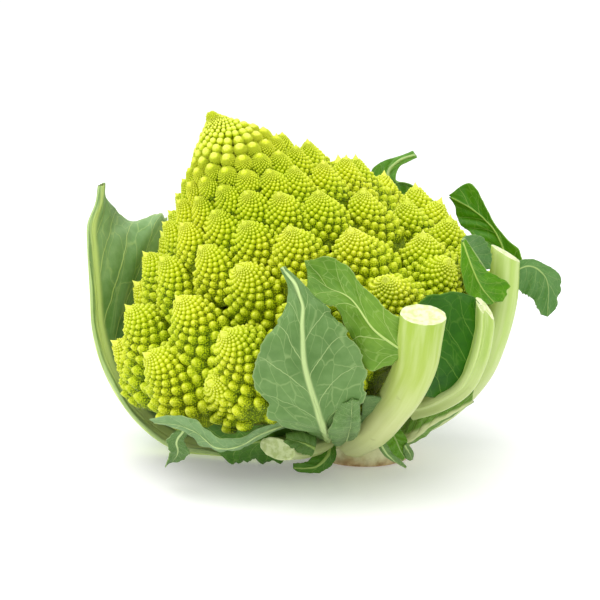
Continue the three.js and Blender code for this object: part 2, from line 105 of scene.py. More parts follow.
# Shares of a bead's width that it is sunk, and of a floret's size that hide it, its tip and flesh
BEAD_SUNK, HIDDEN_BY, TIP_SUNK, FLESH_SUNK = 0.12, 0.02, 0.004, 0.01
# How uneven growth is: the axes of florets, and their tips by a share of size up to a limit
UNEVEN_AXES, UNEVEN_TIPS, UNEVEN_UNTIL = 0.05, 0.12, 0.0012


def unit(vectors):
    """Each vector divided by its length."""
    return vectors / np.maximum(np.linalg.norm(vectors, axis=-1, keepdims=True), 1e-12)


head_up = np.array([
    -math.sin(LEAN_LEFT),
    -math.sin(LEAN_FRONT) * math.cos(LEAN_LEFT),
    math.cos(LEAN_FRONT) * math.cos(LEAN_LEFT),
])
head_left = unit(np.cross(head_up, [0, 1, 0]))
head_front = np.cross(head_up, head_left)


def girth_at(down):
    """The head's radius: a flaring cone down to MEETS, then an ellipse that closes below."""
    part = down * 10
    cone = down * (FLARE[0] + FLARE[1] * part + FLARE[2] * part * part)
    across = (down - WIDEST) / np.where(down < WIDEST, CURVE_ABOVE, CURVE_BELOW)
    ellipse = GIRTH * np.sqrt(np.maximum(1 - across * across, 0))
    return np.where(down < MEETS, cone, ellipse)


def down_of(number):
    """How far below the apex a floret is: growth by a share that rises with its number."""
    steep = np.clip(number, 0, OLD_UNTIL) / 60
    power = OLD_GROWTH[0] + OLD_GROWTH[1] * steep + OLD_GROWTH[2] * steep**2
    grown = np.exp(power + np.maximum(number - OLD_UNTIL, 0) * OLD_RATE)
    young = np.maximum(number, YOUNG_FROM)
    bend = (GROWTH_YOUNG - GROWTH_OLD) / YOUNG_FROM / 2
    smaller = GROWTH_OLD * young + bend * young**2 + GROWTH_YOUNG * np.minimum(number - YOUNG_FROM, 0)
    return 0.001 * np.where(number < 0, FIRST_DOWN * np.exp(smaller), grown)


def head_point(down, turn, girth):
    """A point of the head's skin: its core bends a little, its far right side is fuller, and in
    each hollow the girth shrinks or the skin falls by a power of a cosine times a bell curve.
    The apex is blunt: it is lowered by a bell curve."""
    bend = (down * 10) ** 2
    towards = np.maximum(0, np.cos(turn - FULLER_SIDE)) ** 2
    full = girth * (1 + FULLER_SHARE * towards * np.maximum(0, 1 - down / FULLER_UNTIL))
    fall = down + BLUNT_BY * np.exp(-((down / BLUNT_OVER) ** 2))
    for side, power, middle, reach, slimmer, lower in HOLLOWS:
        weight = np.maximum(0, np.cos(turn - side)) ** power * np.exp(-(((down - middle) / reach) ** 2))
        full = full * (1 - slimmer * weight)
        fall = fall + lower * weight
    left = full * np.cos(turn) - BEND_LEFT * bend
    front = full * np.sin(turn) - BEND_FRONT * bend
    return APEX - fall[..., None] * head_up + left[..., None] * head_left + front[..., None] * head_front


random = np.random.default_rng(12)
numbers = np.arange(FIRST_FLORET, LAST_FLORET + 1).astype(float)
downs = down_of(numbers)
turns = FIRST_TURN + numbers * np.where(numbers < 0, BEAD_TURN, TURN)
girths = girth_at(downs)
slopes = (girth_at(downs + 5e-4) - girth_at(downs - 5e-4)) / 1e-3
outward = np.cos(turns)[:, None] * head_left + np.sin(turns)[:, None] * head_front
tips = head_point(downs, turns, girths)
sizes = np.sqrt(2 * np.pi * girths * (down_of(numbers + 1) - downs) * np.hypot(1, slopes))
axes = unit(unit(outward + slopes[:, None] * head_up) + UPTURN * head_up)
axes = unit(axes + random.normal(size=axes.shape) * UNEVEN_AXES)
tips = tips + random.normal(size=tips.shape) * UNEVEN_TIPS * np.minimum(sizes, UNEVEN_UNTIL)[:, None]


def held_back(points):
    """How far forward the curd may come at each point, as a y, by its height and its side."""
    right, _, height = points.T
    leaf = np.interp(height, HELD_HEIGHTS, HELD_BY_LEAF) - 2 * np.maximum(LEAF_BEGINS - right, 0)
    stems = np.interp(height, HELD_HEIGHTS, HELD_BY_STEMS)
    share = np.clip((right - STEMS_BEGIN) / (STEMS_HOLD - STEMS_BEGIN), 0, 1)
    return leaf + (stems - leaf) * share


def frames_around(directions):
    """Two unit vectors square to each direction, and to each other."""
    helper = np.where(np.abs(directions[..., 2:]) < 0.9, [0.0, 0.0, 1.0], [1.0, 0.0, 0.0])
    first = unit(np.cross(helper, directions))
    return first, np.cross(directions, first)


def dome_faces(columns, rings):
    """Triangles of a dome: a fan at its top, then bands between rings of vertices."""
    around = np.arange(columns)
    after = (around + 1) % columns
    faces = [np.stack([np.zeros_like(around), 1 + around, 1 + after], -1)]
    for ring in range(rings - 1):
        here, below = 1 + ring * columns, 1 + (ring + 1) * columns
        faces.append(np.stack([here + around, below + around, below + after], -1))
        faces.append(np.stack([here + around, below + after, here + after], -1))
    return np.vstack(faces)


def closed_rings(rings):
    """Rings of vertices joined by triangles, and closed by a fan to the middle of each end.

    They face outward where each ring runs counter-clockwise, seen from the last one."""
    total, columns = rings.shape[:2]
    index = np.arange(total * columns).reshape(total, columns)
    after = np.roll(index, -1, axis=1)
    walls = np.stack([index[:-1], after[:-1], after[1:], index[1:]], -1).reshape(-1, 4)
    foot = np.stack([np.full(columns, total * columns), after[0], index[0]], -1)
    top = np.stack([np.full(columns, total * columns + 1), index[-1], after[-1]], -1)
    vertices = np.vstack([rings.reshape(-1, 3), rings[0].mean(0), rings[-1].mean(0)])
    return vertices, np.vstack([walls[:, [0, 1, 2]], walls[:, [0, 2, 3]], foot, top])


def bead_pattern(columns, shares, blunt):
    """A bead of width 1 and height 1 as vertices, triangles, and how far down each vertex is.

    Its radius is a power of the share of the way down, so that a blunt one is a dome and one with
    blunt 0 is a cone."""
    share = np.array(shares)[:, None]
    turn = 2 * np.pi * (np.arange(columns) + 0.5 * (np.arange(len(shares))[:, None] % 2)) / columns
    radius = 0.5 * share ** (0.9 - 0.3 * blunt)
    height = 1 - share ** (1.05 + 0.35 * blunt)
    rings = np.stack([radius * np.cos(turn), radius * np.sin(turn), height + 0 * turn], -1)
    points = np.vstack([[[0.0, 0.0, 1.0]], rings.reshape(-1, 3)])
    return points, dome_faces(columns, len(shares)), np.append(0.0, np.repeat(shares, columns))


# Beads by their width in metres: up to that width, their columns, places of rings and bluntness
BEAD_KINDS = [
    (0.0009, bead_pattern(5, (0.35, 1.0), 1)),
    (0.0015, bead_pattern(7, (0.25, 1.0), 1)),
    (0.0024, bead_pattern(9, (0.14, 0.5, 1.05), 0.9)),
    (0.0034, bead_pattern(10, (0.1, 0.45, 1.05), 0.65)),
    (1.0, bead_pattern(12, (0.06, 0.25, 0.6, 1.1), 0.4)),
]


def flank(size, share):
    """How far out and how far down a floret's flank is, at a share of its size from its tip.

    A small floret is a dome, the sine and 1 - cosine of an angle; a large one is a cone."""
    roundness = np.clip((CONE_FROM - size) / (CONE_FROM - DOME_UNTIL), 0, 1)
    angle = np.minimum(share * DOME_BEND, math.pi / 2)
    below = np.maximum(share - math.pi / 2 / DOME_BEND, 0)
    out = roundness * DOME_WIDTH * np.sin(angle) + (1 - roundness) * share * math.sin(CONE_ANGLE)
    down = roundness * (DOME_WIDTH * (1 - np.cos(angle)) + below)
    return size * out, size * (down + (1 - roundness) * share * math.cos(CONE_ANGLE))


def flank_point(index, share, turn):
    """A point of a floret's flank, and the normal there."""
    first, second = frames_around(axes[index])
    around = np.cos(turn)[:, None] * first + np.sin(turn)[:, None] * second
    out, down = flank(sizes[index], share)
    next_out, next_down = flank(sizes[index], share + 0.01)
    point = tips[index] - down[:, None] * axes[index] + out[:, None] * around
    normal = unit((next_down - down)[:, None] * around + (next_out - out)[:, None] * axes[index])
    return point, normal


def floret_beads(size):
    """Beads of one floret: shares of the way down its flank, turns, and widths.

    Each is a golden turn from the last, and nearer to the tip by the ring area a bead takes."""
    part = np.interp(size, BEAD_SIZES, BEAD_SHARES)
    share, shares = FOOT, []
    smallest = max(SMALLEST_BEAD, SMALLEST_SHARE * size)
    while part * min(share, STEADY_FROM) * size > smallest:
        shares.append(share)
        wide = part * min(share, STEADY_FROM) * size
        share -= wide * wide / (2 * math.pi * flank(size, share)[0] * size)
    share = np.array(shares)
    wide = part * np.minimum(share, STEADY_FROM) * size * random.uniform(0.9, 1.1, len(share))
    turn = random.random() * 2 * np.pi - np.arange(len(share)) * BEAD_TURN
    return share, turn + random.normal(size=len(share)) * 0.02, wide


def inside_others(points, index, margin):
    """Which points lie inside a neighbouring floret."""
    inside = np.zeros(len(points), bool)
    table = np.linspace(0, 1.5, 16)
    for step in (3, 5, 8, 13, 21, 34, -3, -5, -8, -13, -21, -34):
        other = index + step
        if not 0 <= other < len(tips):
            continue
        reach = points - tips[other]
        along = -(reach @ axes[other])
        across = np.linalg.norm(reach + along[:, None] * axes[other], axis=1)
        out, down = flank(sizes[other], table)
        inside |= (across < np.interp(along, down, out) - margin) & (along > 0) & (along < down[-1])
    return inside


def join(parts):
    """Several sets of vertices, triangles, painted shades and grains as one set."""
    before = np.cumsum([0] + [len(part[0]) for part in parts])
    triangles = np.vstack([part[1] + first for part, first in zip(parts, before)])
    vertices, painted_shades, grains = (np.concatenate([part[which] for part in parts]) for which in (0, 2, 3))
    return vertices, triangles, painted_shades, grains


def place_beads(indices):
    """The beads of these florets as one set of vertices, triangles, painted shades and grains."""
    beads = []
    for index in indices:
        share, turn, wide = floret_beads(sizes[index])
        if not len(share):
            continue
        point, normal = flank_point(index, share, turn)
        seen = ~inside_others(point + normal * wide[:, None] * 0.5, index, HIDDEN_BY * sizes[index])
        seen &= (point[:, 2] > UNDERSIDE) & (point[:, 1] > held_back(point))
        point = point - normal * wide[:, None] * BEAD_SUNK
        normal = unit(normal + (0.35 + 0.45 * share[:, None]) * axes[index])
        beads.append([values[seen] for values in (point, normal, wide, share)])
    return shape_beads(*map(np.concatenate, zip(*beads)))


def knob_beads():
    """The blunt knob at the apex: small beads on a half ball, each a golden turn from the last."""
    down = (np.arange(KNOB_BEADS) + 0.5) / KNOB_BEADS
    turn = np.arange(KNOB_BEADS) * BEAD_TURN
    level = np.sqrt(1 - (1 - down) ** 2)
    spread = np.cos(turn)[:, None] * head_left + np.sin(turn)[:, None] * head_front
    normal = unit(level[:, None] * spread + (1 - down)[:, None] * head_up)
    middle = APEX - (BLUNT_BY + KNOB_WIDTH * 0.72) * head_up
    uneven = 1 + 0.08 * random.normal(size=KNOB_BEADS)[:, None]
    spots = middle + KNOB_WIDTH / 2 * normal * uneven
    return shape_beads(spots, normal, np.full(KNOB_BEADS, KNOB_BEAD), 0.3 + 0.5 * (turn % 1.0))


def shape_beads(spots, normals, widths, shades):
    """Beads at these spots as vertices, triangles, painted shades and grains."""
    first, second = frames_around(normals)
    parts, smaller = [], 0.0
    for limit, (points, faces, low) in BEAD_KINDS:
        here = (widths > smaller) & (widths <= limit)
        smaller = limit
        if not here.any():
            continue
        wide = widths[here][:, None, None]
        tall = wide * (0.72 + 60 * np.clip(wide - 0.002, 0, 0.003))
        placed = (
            spots[here][:, None]
            + points[None, :, 0:1] * wide * SPREAD * first[here][:, None]
            + points[None, :, 1:2] * wide * SPREAD * second[here][:, None]
            + points[None, :, 2:3] * tall * normals[here][:, None]
        )
        count, size = placed.shape[:2]
        triangles = (faces[None] + size * np.arange(count)[:, None, None]).reshape(-1, 3)
        # Painted shade and highlight: each bead is painted dark at its foot, where beads meet, and pale at
        # its top; beads lower on their floret are painted darker, and those near its tip paler.
        tip = np.clip(0.45 - shades[here], 0, 1)[:, None] * 0.45
        painted_shade = 0.9 - 0.68 * low[None] - 0.1 * shades[here][:, None] + tip
        grain = np.clip((low[None] - 0.1) * 4, 0, 1) * np.clip((wide[..., 0] - 0.002) / 0.001, 0, 1)
        parts.append((placed.reshape(-1, 3), triangles, painted_shade.ravel(), grain.ravel()))
    return join(parts)


# The flesh under the beads by the floret's size: up to that size, its columns and rings
FLESH_KINDS = [
    (0.0009, 6, (0.4, 1.1)),
    (0.0022, 9, (0.25, 0.6, 1.1)),
    (0.0055, 16, (0.12, 0.3, 0.5, 0.75, 1.0, 1.4)),
    (1.0, 18, (0.05, 0.12, 0.25, 0.5, 0.9, 1.45)),
]


def place_flesh(indices):
    """The dome or cone of each floret as vertices, triangles, painted shades and grains, sunk a little."""
    parts = []
    for index in indices:
        size = sizes[index]
        columns, shares = next(kind[1:] for kind in FLESH_KINDS if size <= kind[0])
        turn = 2 * np.pi * np.arange(columns) / columns
        share = np.repeat(shares, columns)
        point, normal = flank_point(index, share, np.tile(turn, len(shares)))
        point = np.vstack([tips[index] - TIP_SUNK * size * axes[index], point - normal * FLESH_SUNK * size])
        # Painted shade: the flesh is painted darker down towards the floret's foot, where it lies between
        # florets, and full bright at its tip.
        beaded = np.clip((size - 0.005) / 0.003, 0, 1)
        dark = beaded * np.clip(share * 1.6, 0, 0.9) + (1 - beaded) * 0.75 * np.clip(share, 0, 1) ** 2
        grown = np.clip((size - 0.002) / 0.002, 0, 1)
        grain = np.append(0.4 * grown, grown * (0.4 + 0.2 * np.clip(share * 2 - 0.6, 0, 1)))
        parts.append((point, dome_faces(columns, len(shares)), np.append(1.0, 1.0 - dark), grain))
    vertices, triangles, painted_shades, grains = join(parts)
    vertices[:, 2] = np.maximum(vertices[:, 2], UNDERSIDE)
    vertices[:, 1] = np.maximum(vertices[:, 1], held_back(vertices))
    return vertices, triangles, painted_shades, grains


def make_mesh(name, vertices, faces, attributes=(), uv=None, smooth=True):
    """An object from arrays of vertices and faces, with numbers for its vertices."""
    mesh = bpy.data.meshes.new(name)
    mesh.vertices.add(len(vertices))
    mesh.vertices.foreach_set("co", np.asarray(vertices, np.float32).ravel())
    corners = faces.shape[1]
    mesh.loops.add(faces.size)
    mesh.loops.foreach_set("vertex_index", faces.astype(np.int32).ravel())
    mesh.polygons.add(len(faces))
    mesh.polygons.foreach_set("loop_start", np.arange(0, faces.size, corners, dtype=np.int32))
    mesh.polygons.foreach_set("use_smooth", np.full(len(faces), smooth))
    for key, values in attributes:
        layer = mesh.attributes.new(key, "FLOAT", "POINT")
        layer.data.foreach_set("value", np.asarray(values, np.float32))
    if uv is not None:
        layer = mesh.uv_layers.new(name="surface")
        layer.data.foreach_set("uv", np.asarray(uv, np.float32)[faces.ravel()].ravel())
    mesh.update()
    mesh.validate()
    piece = bpy.data.objects.new(name, mesh)
    bpy.context.scene.collection.objects.link(piece)
    return piece


def add_part(name, node, surface, material):
    """A piece that stands for a node of the frame and moves with the head. It rests on the table
    where it would reach below it."""
    vertices, faces, attributes, spots = surface
    vertices[:, 2] = np.maximum(vertices[:, 2], 0)
    piece = make_mesh(name, vertices, faces, attributes, spots)
    piece.data.materials.append(material)
    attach(piece, "root")
    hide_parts(node)


def linear(colour):
    """A colour given as the eye's 0 to 255, turned linear."""
    return tuple((value / 255) ** 2.2 for value in colour)


class Shade:
    """A socket of a material, with sums and products written as they are in algebra."""

    def __init__(self, tree, socket):
        self.tree = tree
        self.socket = socket

    def node(self, kind, settings=(), inputs=(), output=0):
        """Adds a node, sets what it is, then fills its sockets with values or links."""
        made = self.tree.nodes.new(kind)
        for key, value in dict(settings).items():
            setattr(made, key, value)
        for key, value in dict(inputs).items():
            if isinstance(value, Shade):
                self.tree.links.new(value.socket, made.inputs[key])
            else:
                made.inputs[key].default_value = value
        return Shade(self.tree, made.outputs[output])

    def maths(self, operation, *values):
        return self.node("ShaderNodeMath", {"operation": operation}, dict(enumerate(values)))

    def __add__(self, other):
        return self.maths("ADD", self, other)

    def __sub__(self, other):
        return self.maths("SUBTRACT", self, other)

    def __rsub__(self, other):
        return self.maths("SUBTRACT", other, self)

    def __mul__(self, other):
        return self.maths("MULTIPLY", self, other)

    def attribute(self, name):
        """A number that each vertex holds."""
        return self.node("ShaderNodeAttribute", {"attribute_name": name}, {}, "Fac")

    def vector(self, *coordinates):
        return self.node("ShaderNodeCombineXYZ", {}, dict(enumerate(coordinates)))

    def between(self, low, high):
        """0 below low, 1 above high, and smooth in between."""
        return self.node("ShaderNodeMapRange", {"interpolation_type": "SMOOTHSTEP"},
                         {"Value": self, "From Min": low, "From Max": high})

    def mix(self, first, second):
        """The first colour where this is 0, the second where it is 1."""
        first, second = (c if isinstance(c, Shade) else (*linear(c), 1) for c in (first, second))
        return self.node("ShaderNodeMix", {"data_type": "RGBA", "clamp_factor": True},
                         {0: self, 6: first, 7: second}, 2)

    def ramp(self, *stops):
        """A colour for this number, from stops of a place and a colour."""
        made = self.node("ShaderNodeValToRGB", {}, {0: self})
        band = made.socket.node.color_ramp
        while len(band.elements) < len(stops):
            band.elements.new(1.0)
        for element, (place, colour) in zip(band.elements, stops):
            element.position = place
            element.color = (*linear(colour), 1)
        return made

    def part(self, axis):
        """One coordinate of a vector."""
        return self.node("ShaderNodeSeparateXYZ", {}, {0: self}, axis)

    def noise(self, scale, detail=2, roughness=0.5):
        return self.node("ShaderNodeTexNoise", {},
                         {"Vector": self, "Scale": scale, "Detail": detail, "Roughness": roughness})


def new_material(name):
    """A material, a Shade to start its nodes from, and the place on the object."""
    material = bpy.data.materials.new(name)
    material.use_nodes = True
    start = Shade(material.node_tree, None)
    return material, start, start.node("ShaderNodeTexCoord", {}, {}, "Object")


def finish_skin(material, colour, height, strength, distance, roughness, shine=0.5):
    """Gives a material its colour, the relief of its skin, its roughness and its shine."""
    shader = material.node_tree.nodes["Principled BSDF"]
    relief = colour.node("ShaderNodeBump", {}, {"Strength": strength, "Distance": distance, "Height": height})
    material.node_tree.links.new(colour.socket, shader.inputs["Base Color"])
    material.node_tree.links.new(relief.socket, shader.inputs["Normal"])
    shader.inputs["Roughness"].default_value = roughness
    shader.inputs["Specular IOR Level"].default_value = shine
    return material


curd_skin, start, place = new_material("curd_skin")
grain = start.attribute("grain")
cells = place.node("ShaderNodeTexVoronoi", {"feature": "SMOOTH_F1"},
                   {"Vector": place, "Scale": 1350.0, "Smoothness": 0.2, "Randomness": 0.6})
dome = 0.5 - cells
# Painted shade and highlight: each vertex's painted shade, plus tiny cells on the large beads painted pale in
# their middles and dark at their rims, picks a colour on ramps that run from dark crevice shade to pale lit
# tops; the cloudy mix of the two ramps is the curd's own patchy colour.
painted_shade = start.attribute("painted_shade") + grain * (dome * 1.25 - 0.13)
fresh = painted_shade.ramp((0.0, (84, 108, 2)), (0.25, (150, 174, 8)), (0.55, (192, 208, 24)), (1.0, (226, 234, 100)))
ripe = painted_shade.ramp((0.0, (100, 114, 4)), (0.25, (168, 182, 12)), (0.55, (208, 216, 34)), (1.0, (234, 238, 114)))
cloudy = place.noise(38, 3).between(0.35, 0.7)
buds = dome * grain + place.noise(2600, 2) * 0.25
finish_skin(curd_skin, cloudy.mix(fresh, ripe), buds, 0.8, 0.0005, roughness=0.55, shine=0.17)

# A blunt knob of unopened buds closes the apex. The florets are shared out by size over pieces
# that stay light, and a plain core under them closes the curd below
BANDS = [("apex_florets", FIRST_FLORET, 20), ("upper_florets", 21, 52), ("shoulder_florets", 53, 72),
         ("middle_florets", 73, 88), ("wide_florets", 89, 101), ("lower_florets", 102, 114),
         ("foot_florets", 115, 128)]
for band_name, low, high in BANDS:
    indices = np.where((numbers >= low) & (numbers <= high))[0]
    parts = [place_beads(indices), place_flesh(indices)]
    if low == FIRST_FLORET:
        parts.append(knob_beads())
    points, triangles, painted_shades, grains = join(parts)
    surface = points, triangles, [("painted_shade", painted_shades), ("grain", grains)], None
    add_part(band_name, "curd", surface, curd_skin)

# The core's share of the girth, and how much deeper it lies, at places down the head
CORE_PLACES, CORE_SHARES, CORE_DEEPER = (0.003, 0.03), (0.97, 0.68), (0.0006, 0.012)
CORE_COLUMNS, CORE_ROWS, CORE_ENDS, CORE_BEHIND = 72, 36, (0.138, 0.1415), 0.002
core_down = np.append(np.linspace(CORE_PLACES[0], CORE_ENDS[0], CORE_ROWS), CORE_ENDS[1])
core_turn = 2 * np.pi * np.arange(CORE_COLUMNS) / CORE_COLUMNS
every_down, every_turn = np.repeat(core_down, CORE_COLUMNS), np.tile(core_turn, len(core_down))
core_girth = girth_at(every_down) * np.interp(every_down, CORE_PLACES, CORE_SHARES)
core = head_point(every_down, every_turn, core_girth)
core = core - np.interp(every_down, CORE_PLACES, CORE_DEEPER)[:, None] * head_up
core[:, 2] = np.maximum(core[:, 2], UNDERSIDE)
core[:, 1] = np.maximum(core[:, 1], held_back(core) + CORE_BEHIND)
core_points, core_faces = closed_rings(core.reshape(len(core_down), CORE_COLUMNS, 3)[::-1])
# The core is painted at a low, shaded step of the ramp, as it is seen only deep between the florets.
core_shade = [(key, np.full(len(core_points), value)) for key, value in (("painted_shade", 0.3), ("grain", 0.5))]
add_part("curd_core", "curd", (core_points, core_faces, core_shade, None), curd_skin)


# The small front leaf springs from the stalk's front and stands before the curd with its back to
# the viewer: a blue-green blade with a wavy, toothed edge, and a pale round midrib that widens to
# the foot. Every leaf is one thin sheet between a rib and two edges, grown in one with its veins.
# One millimetre, and how many of them a leaf is thick
MM, THICK = 0.001, 0.8


def spline(points, share):
    """Places along a smooth curve through points given in millimetres, at shares 0 to 1 of it.

    Between two points runs a Catmull-Rom cubic whose knots are spaced by the root of distance."""
    points = np.asarray(points, float) * MM
    points = np.vstack([2 * points[0] - points[1], points, 2 * points[-1] - points[-2]])
    place = np.clip(share, 0, 1) * (len(points) - 3)
    index = np.minimum(place.astype(int), len(points) - 4)
    step = (place - index)[:, None]
    knots = [points[index + k] for k in range(4)]
    gaps = [np.sqrt(np.linalg.norm(b - a, axis=1))[:, None] for a, b in zip(knots, knots[1:])]
    slopes = []
    for k in (0, 1):
        before, after = gaps[k], gaps[k + 1]
        here = (knots[k + 1] - knots[k]) / before + (knots[k + 2] - knots[k + 1]) / after
        slopes.append((here - (knots[k + 2] - knots[k]) / (before + after)) * gaps[1])
    start, end = knots[1], knots[2]
    square, cube = 3 * (end - start) - 2 * slopes[0] - slopes[1], 2 * (start - end) + slopes[0] + slopes[1]
    return start + slopes[0] * step + square * step**2 + cube * step**3


def wander(random, count, low, high):
    """A smooth random line at count places: sines of falling height, about -1 to 1."""
    waves = np.arange(low, high)
    heights = random.normal(size=len(waves)) / np.sqrt(waves)
    heights = heights / max(np.abs(heights).sum() * 0.55, 1e-6)
    starts = random.uniform(0, 2 * np.pi, len(waves))
    line = np.linspace(0, 1, count)[:, None]
    return (np.sin(2 * np.pi * line * waves + starts) @ heights)[:, None, None]


def blade(rib, left, right, grid, waves, teeth, ribs, veins, seed, back=-1, arch=0.05, dent=None):
    """A leaf's sheet: rows along its rib, and columns from its left edge over the rib to the right.

    A point is rib + reach * share, where share is 0 at the rib and 1 at the edge. Teeth lengthen
    the reach near the edge, mostly where a side vein ends. The sheet arches by share * (1 - share),
    ripples by share squared, and bulges between its side veins. Its back carries the rib as a ridge
    exp(-(distance / width)^2). The grid is its rows and half its columns. Pairs give the heights of
    long and short waves, the teeth's height and number, the ridge's width and height, and how many
    the veins are and how far they lean. A dent has a side, a place, a reach and a depth."""
    rows, half = grid
    rib_wide, rib_high = ribs
    vein_count, lean = veins
    random = np.random.default_rng(seed)
    along = np.linspace(0, 1, rows)
    middle = spline(rib, along)
    ahead = unit(np.gradient(middle, axis=0))
    signed = np.linspace(-1, 1, 2 * half + 1)
    signed = np.sign(signed) * np.abs(signed) ** 1.2
    share = np.abs(signed)[None, :, None]
    line = along[:, None, None]
    points = np.repeat(middle[:, None], 2 * half + 1, axis=1)
    away = np.zeros((rows, 2 * half + 1))
    for side, edge in ((-1, left), (1, right)):
        chosen = signed * side >= 0
        part = share[:, chosen]
        reach = spline(edge, along) - middle
        longest = np.linalg.norm(reach, axis=1)[:, None, None]
        flat = unit(np.cross(ahead, reach))[:, None] * side
        fade = np.minimum(1, longest / 0.012)
        shift = max(side, 0) / 2
        vein = vein_count * (line - lean * (2 * part - part**2)) + shift
        ends = vein_count * (line - lean) + shift
        tooth = 0.35 * np.cos(2 * np.pi * ends - np.pi) + 0.6 * wander(random, rows, 3, 12)
        saw = (teeth[1] * line + 0.4 * wander(random, rows, 2, 5) + random.random()) % 1
        tooth = tooth + 0.5 * (saw**2 - 0.3) + 0.25 * wander(random, rows, 18, 30)
        stretch = part * (1 + teeth[0] * tooth * part**4)
        if dent is not None and side == dent[0]:
            stretch = stretch * (1 - dent[3] * np.exp(-(((line - dent[1]) / dent[2]) ** 4)) * part**2)
        ripple = waves[0] * MM * wander(random, rows, 1, 4) * part**2
        ripple = ripple + waves[1] * MM * wander(random, rows, 5, 11) * part**4
        bulge = 0.0004 * np.cos(2 * np.pi * vein) * part * (1 - part) * 4
        lift = fade * (ripple + bulge) + arch * longest * 4 * part * (1 - part) * back
        points[:, chosen] = middle[:, None] + reach[:, None] * stretch + flat * lift
        away[:, chosen] = (longest * stretch)[..., 0]
    normal = unit(np.cross(np.gradient(points, axis=0), np.gradient(points, axis=1)))
    ridge = np.exp(-((away / (rib_wide * MM * (1.15 - 0.8 * along[:, None]))) ** 2))
    ridge = ridge * (1 - 0.6 * along[:, None])
    body = 0.5 * THICK * MM * (1 - 0.5 * share[..., 0] ** 6)
    front = points - back * normal * (body + 0.25 * rib_high * MM * ridge)[..., None]
    behind = points + back * normal * (body + rib_high * MM * ridge)[..., None]
    return sheet_faces(front, behind, signed, along, ridge, back)


def sheet_faces(front, behind, signed, along, ridge, back):
    """Two grids joined round their border: vertices, quads, attributes and surface coordinates."""
    rows, columns = front.shape[:2]
    index = np.arange(rows * columns).reshape(rows, columns)
    quads = np.stack([index[:-1, :-1], index[1:, :-1], index[1:, 1:], index[:-1, 1:]], -1).reshape(-1, 4)
    rim = np.concatenate([index[0], index[1:, -1], index[-1, -2::-1], index[-2::-1, 0]])[:-1]
    after = np.roll(rim, -1)
    total = rows * columns
    walls = np.stack([rim, after, after + total, rim + total], -1)
    faces = np.vstack([quads[:, ::-back], quads[:, ::back] + total, walls[:, ::-back]])
    vertices = np.vstack([front.reshape(-1, 3), behind.reshape(-1, 3)])
    under = np.repeat([0.0, 1.0], total)
    spots = np.stack(np.broadcast_arrays(along[:, None], 0.5 + 0.5 * signed[None]), -1).reshape(-1, 2)
    attributes = [("under", under), ("rib", np.tile(ridge.ravel(), 2))]
    return vertices, faces, attributes, np.tile(spots, (2, 1))


def add_leaf(name, node, skin, **shape):
    """A leaf's sheet, or a part of one, as a piece that stands for a node of the frame."""
    add_part(name, node, blade(**shape), skin)


def leaf_skin(name, face, back, vein, veins=8, lean=0.14, width=1.0, shine=0.3):
    """Leaf skin in two colours, dark and light, for its face and for its back, with pale veins.

    Side veins lie where veins * (along - lean * (2 * share - share^2)) is half past a whole."""
    skin, start, place = new_material(name)
    spot = start.node("ShaderNodeUVMap", {"uv_map": "surface"})
    along, across = spot.part("X"), spot.part("Y") * 2 - 1
    share = across.maths("ABSOLUTE", across)
    wobble = place.noise(45, 4)
    step = (along - (share * 2 - share * share) * lean) * veins + wobble * 0.7
    step = step + across.maths("GREATER_THAN", across, 0.0) * 0.5
    near = step.maths("ABSOLUTE", step.maths("FRACT", step) - 0.5)
    thin = near + share * (0.018 * width)
    side_vein = thin.between(0.031 * width, 0.014 * width)
    cells = step.vector(step * 1.7, share * 4 + wobble * 1.5, 0.0)
    net = cells.node("ShaderNodeTexVoronoi", {"feature": "DISTANCE_TO_EDGE"}, {"Vector": cells, "Scale": 1.0})
    net = net.between(0.045, 0.005) * share.between(0.0, 0.25)
    lines = side_vein.maths("MAXIMUM", side_vein * 0.62, net * 0.2)
    lines = lines.maths("MAXIMUM", lines, start.attribute("rib").between(0.1, 0.5))
    lines = lines.maths("MAXIMUM", lines, share.between(0.965, 1.0) * 0.4)
    cloud = place.noise(30, 5).between(0.3, 0.7)
    blotch = cloud * 0.7 + place.noise(260, 3).between(0.3, 0.7) * 0.3
    base = start.attribute("under").mix(blotch.mix(*face), blotch.mix(*back))
    height = lines * 0.7 + place.noise(900, 2) * 0.15 + cloud * 0.4
    return finish_skin(skin, lines.mix(base, vein), height, 0.5, 0.0007, roughness=0.5, shine=shine)


PALE_VEIN = (178, 202, 132)
bloom_skin = leaf_skin("front_leaf_skin", ((70, 108, 44), (104, 138, 76)), ((76, 112, 50), (108, 142, 80)),
                       PALE_VEIN, veins=8, lean=0.16)
add_leaf(
    "small_front_blade", "small_front_leaf", bloom_skin,
    rib=[(-17, -36, 18), (-18, -60, 28), (-20, -84, 38), (-23, -95, 51), (-27, -102, 67), (-28, -105, 82),
         (-28, -102, 92), (-31, -97, 99), (-36, -90, 104)],
    left=[(-20, -38, 18), (-26, -62, 27), (-37, -88, 39), (-43, -93, 47), (-47.5, -97, 62),
          (-42, -102, 79), (-36, -101, 88), (-33.5, -96, 97), (-37, -90, 104)],
    right=[(-13, -36, 19), (-13, -60, 30), (-9, -86, 42), (-4.5, -94, 51), (-2.5, -99, 66),
           (-10, -104, 80), (-17, -103, 90), (-27, -97, 98), (-35, -90, 105)],
    grid=(130, 32), waves=(1.5, 0.9), teeth=(0.085, 22), ribs=(1.6, 2.0), veins=(8, 0.16), seed=5)


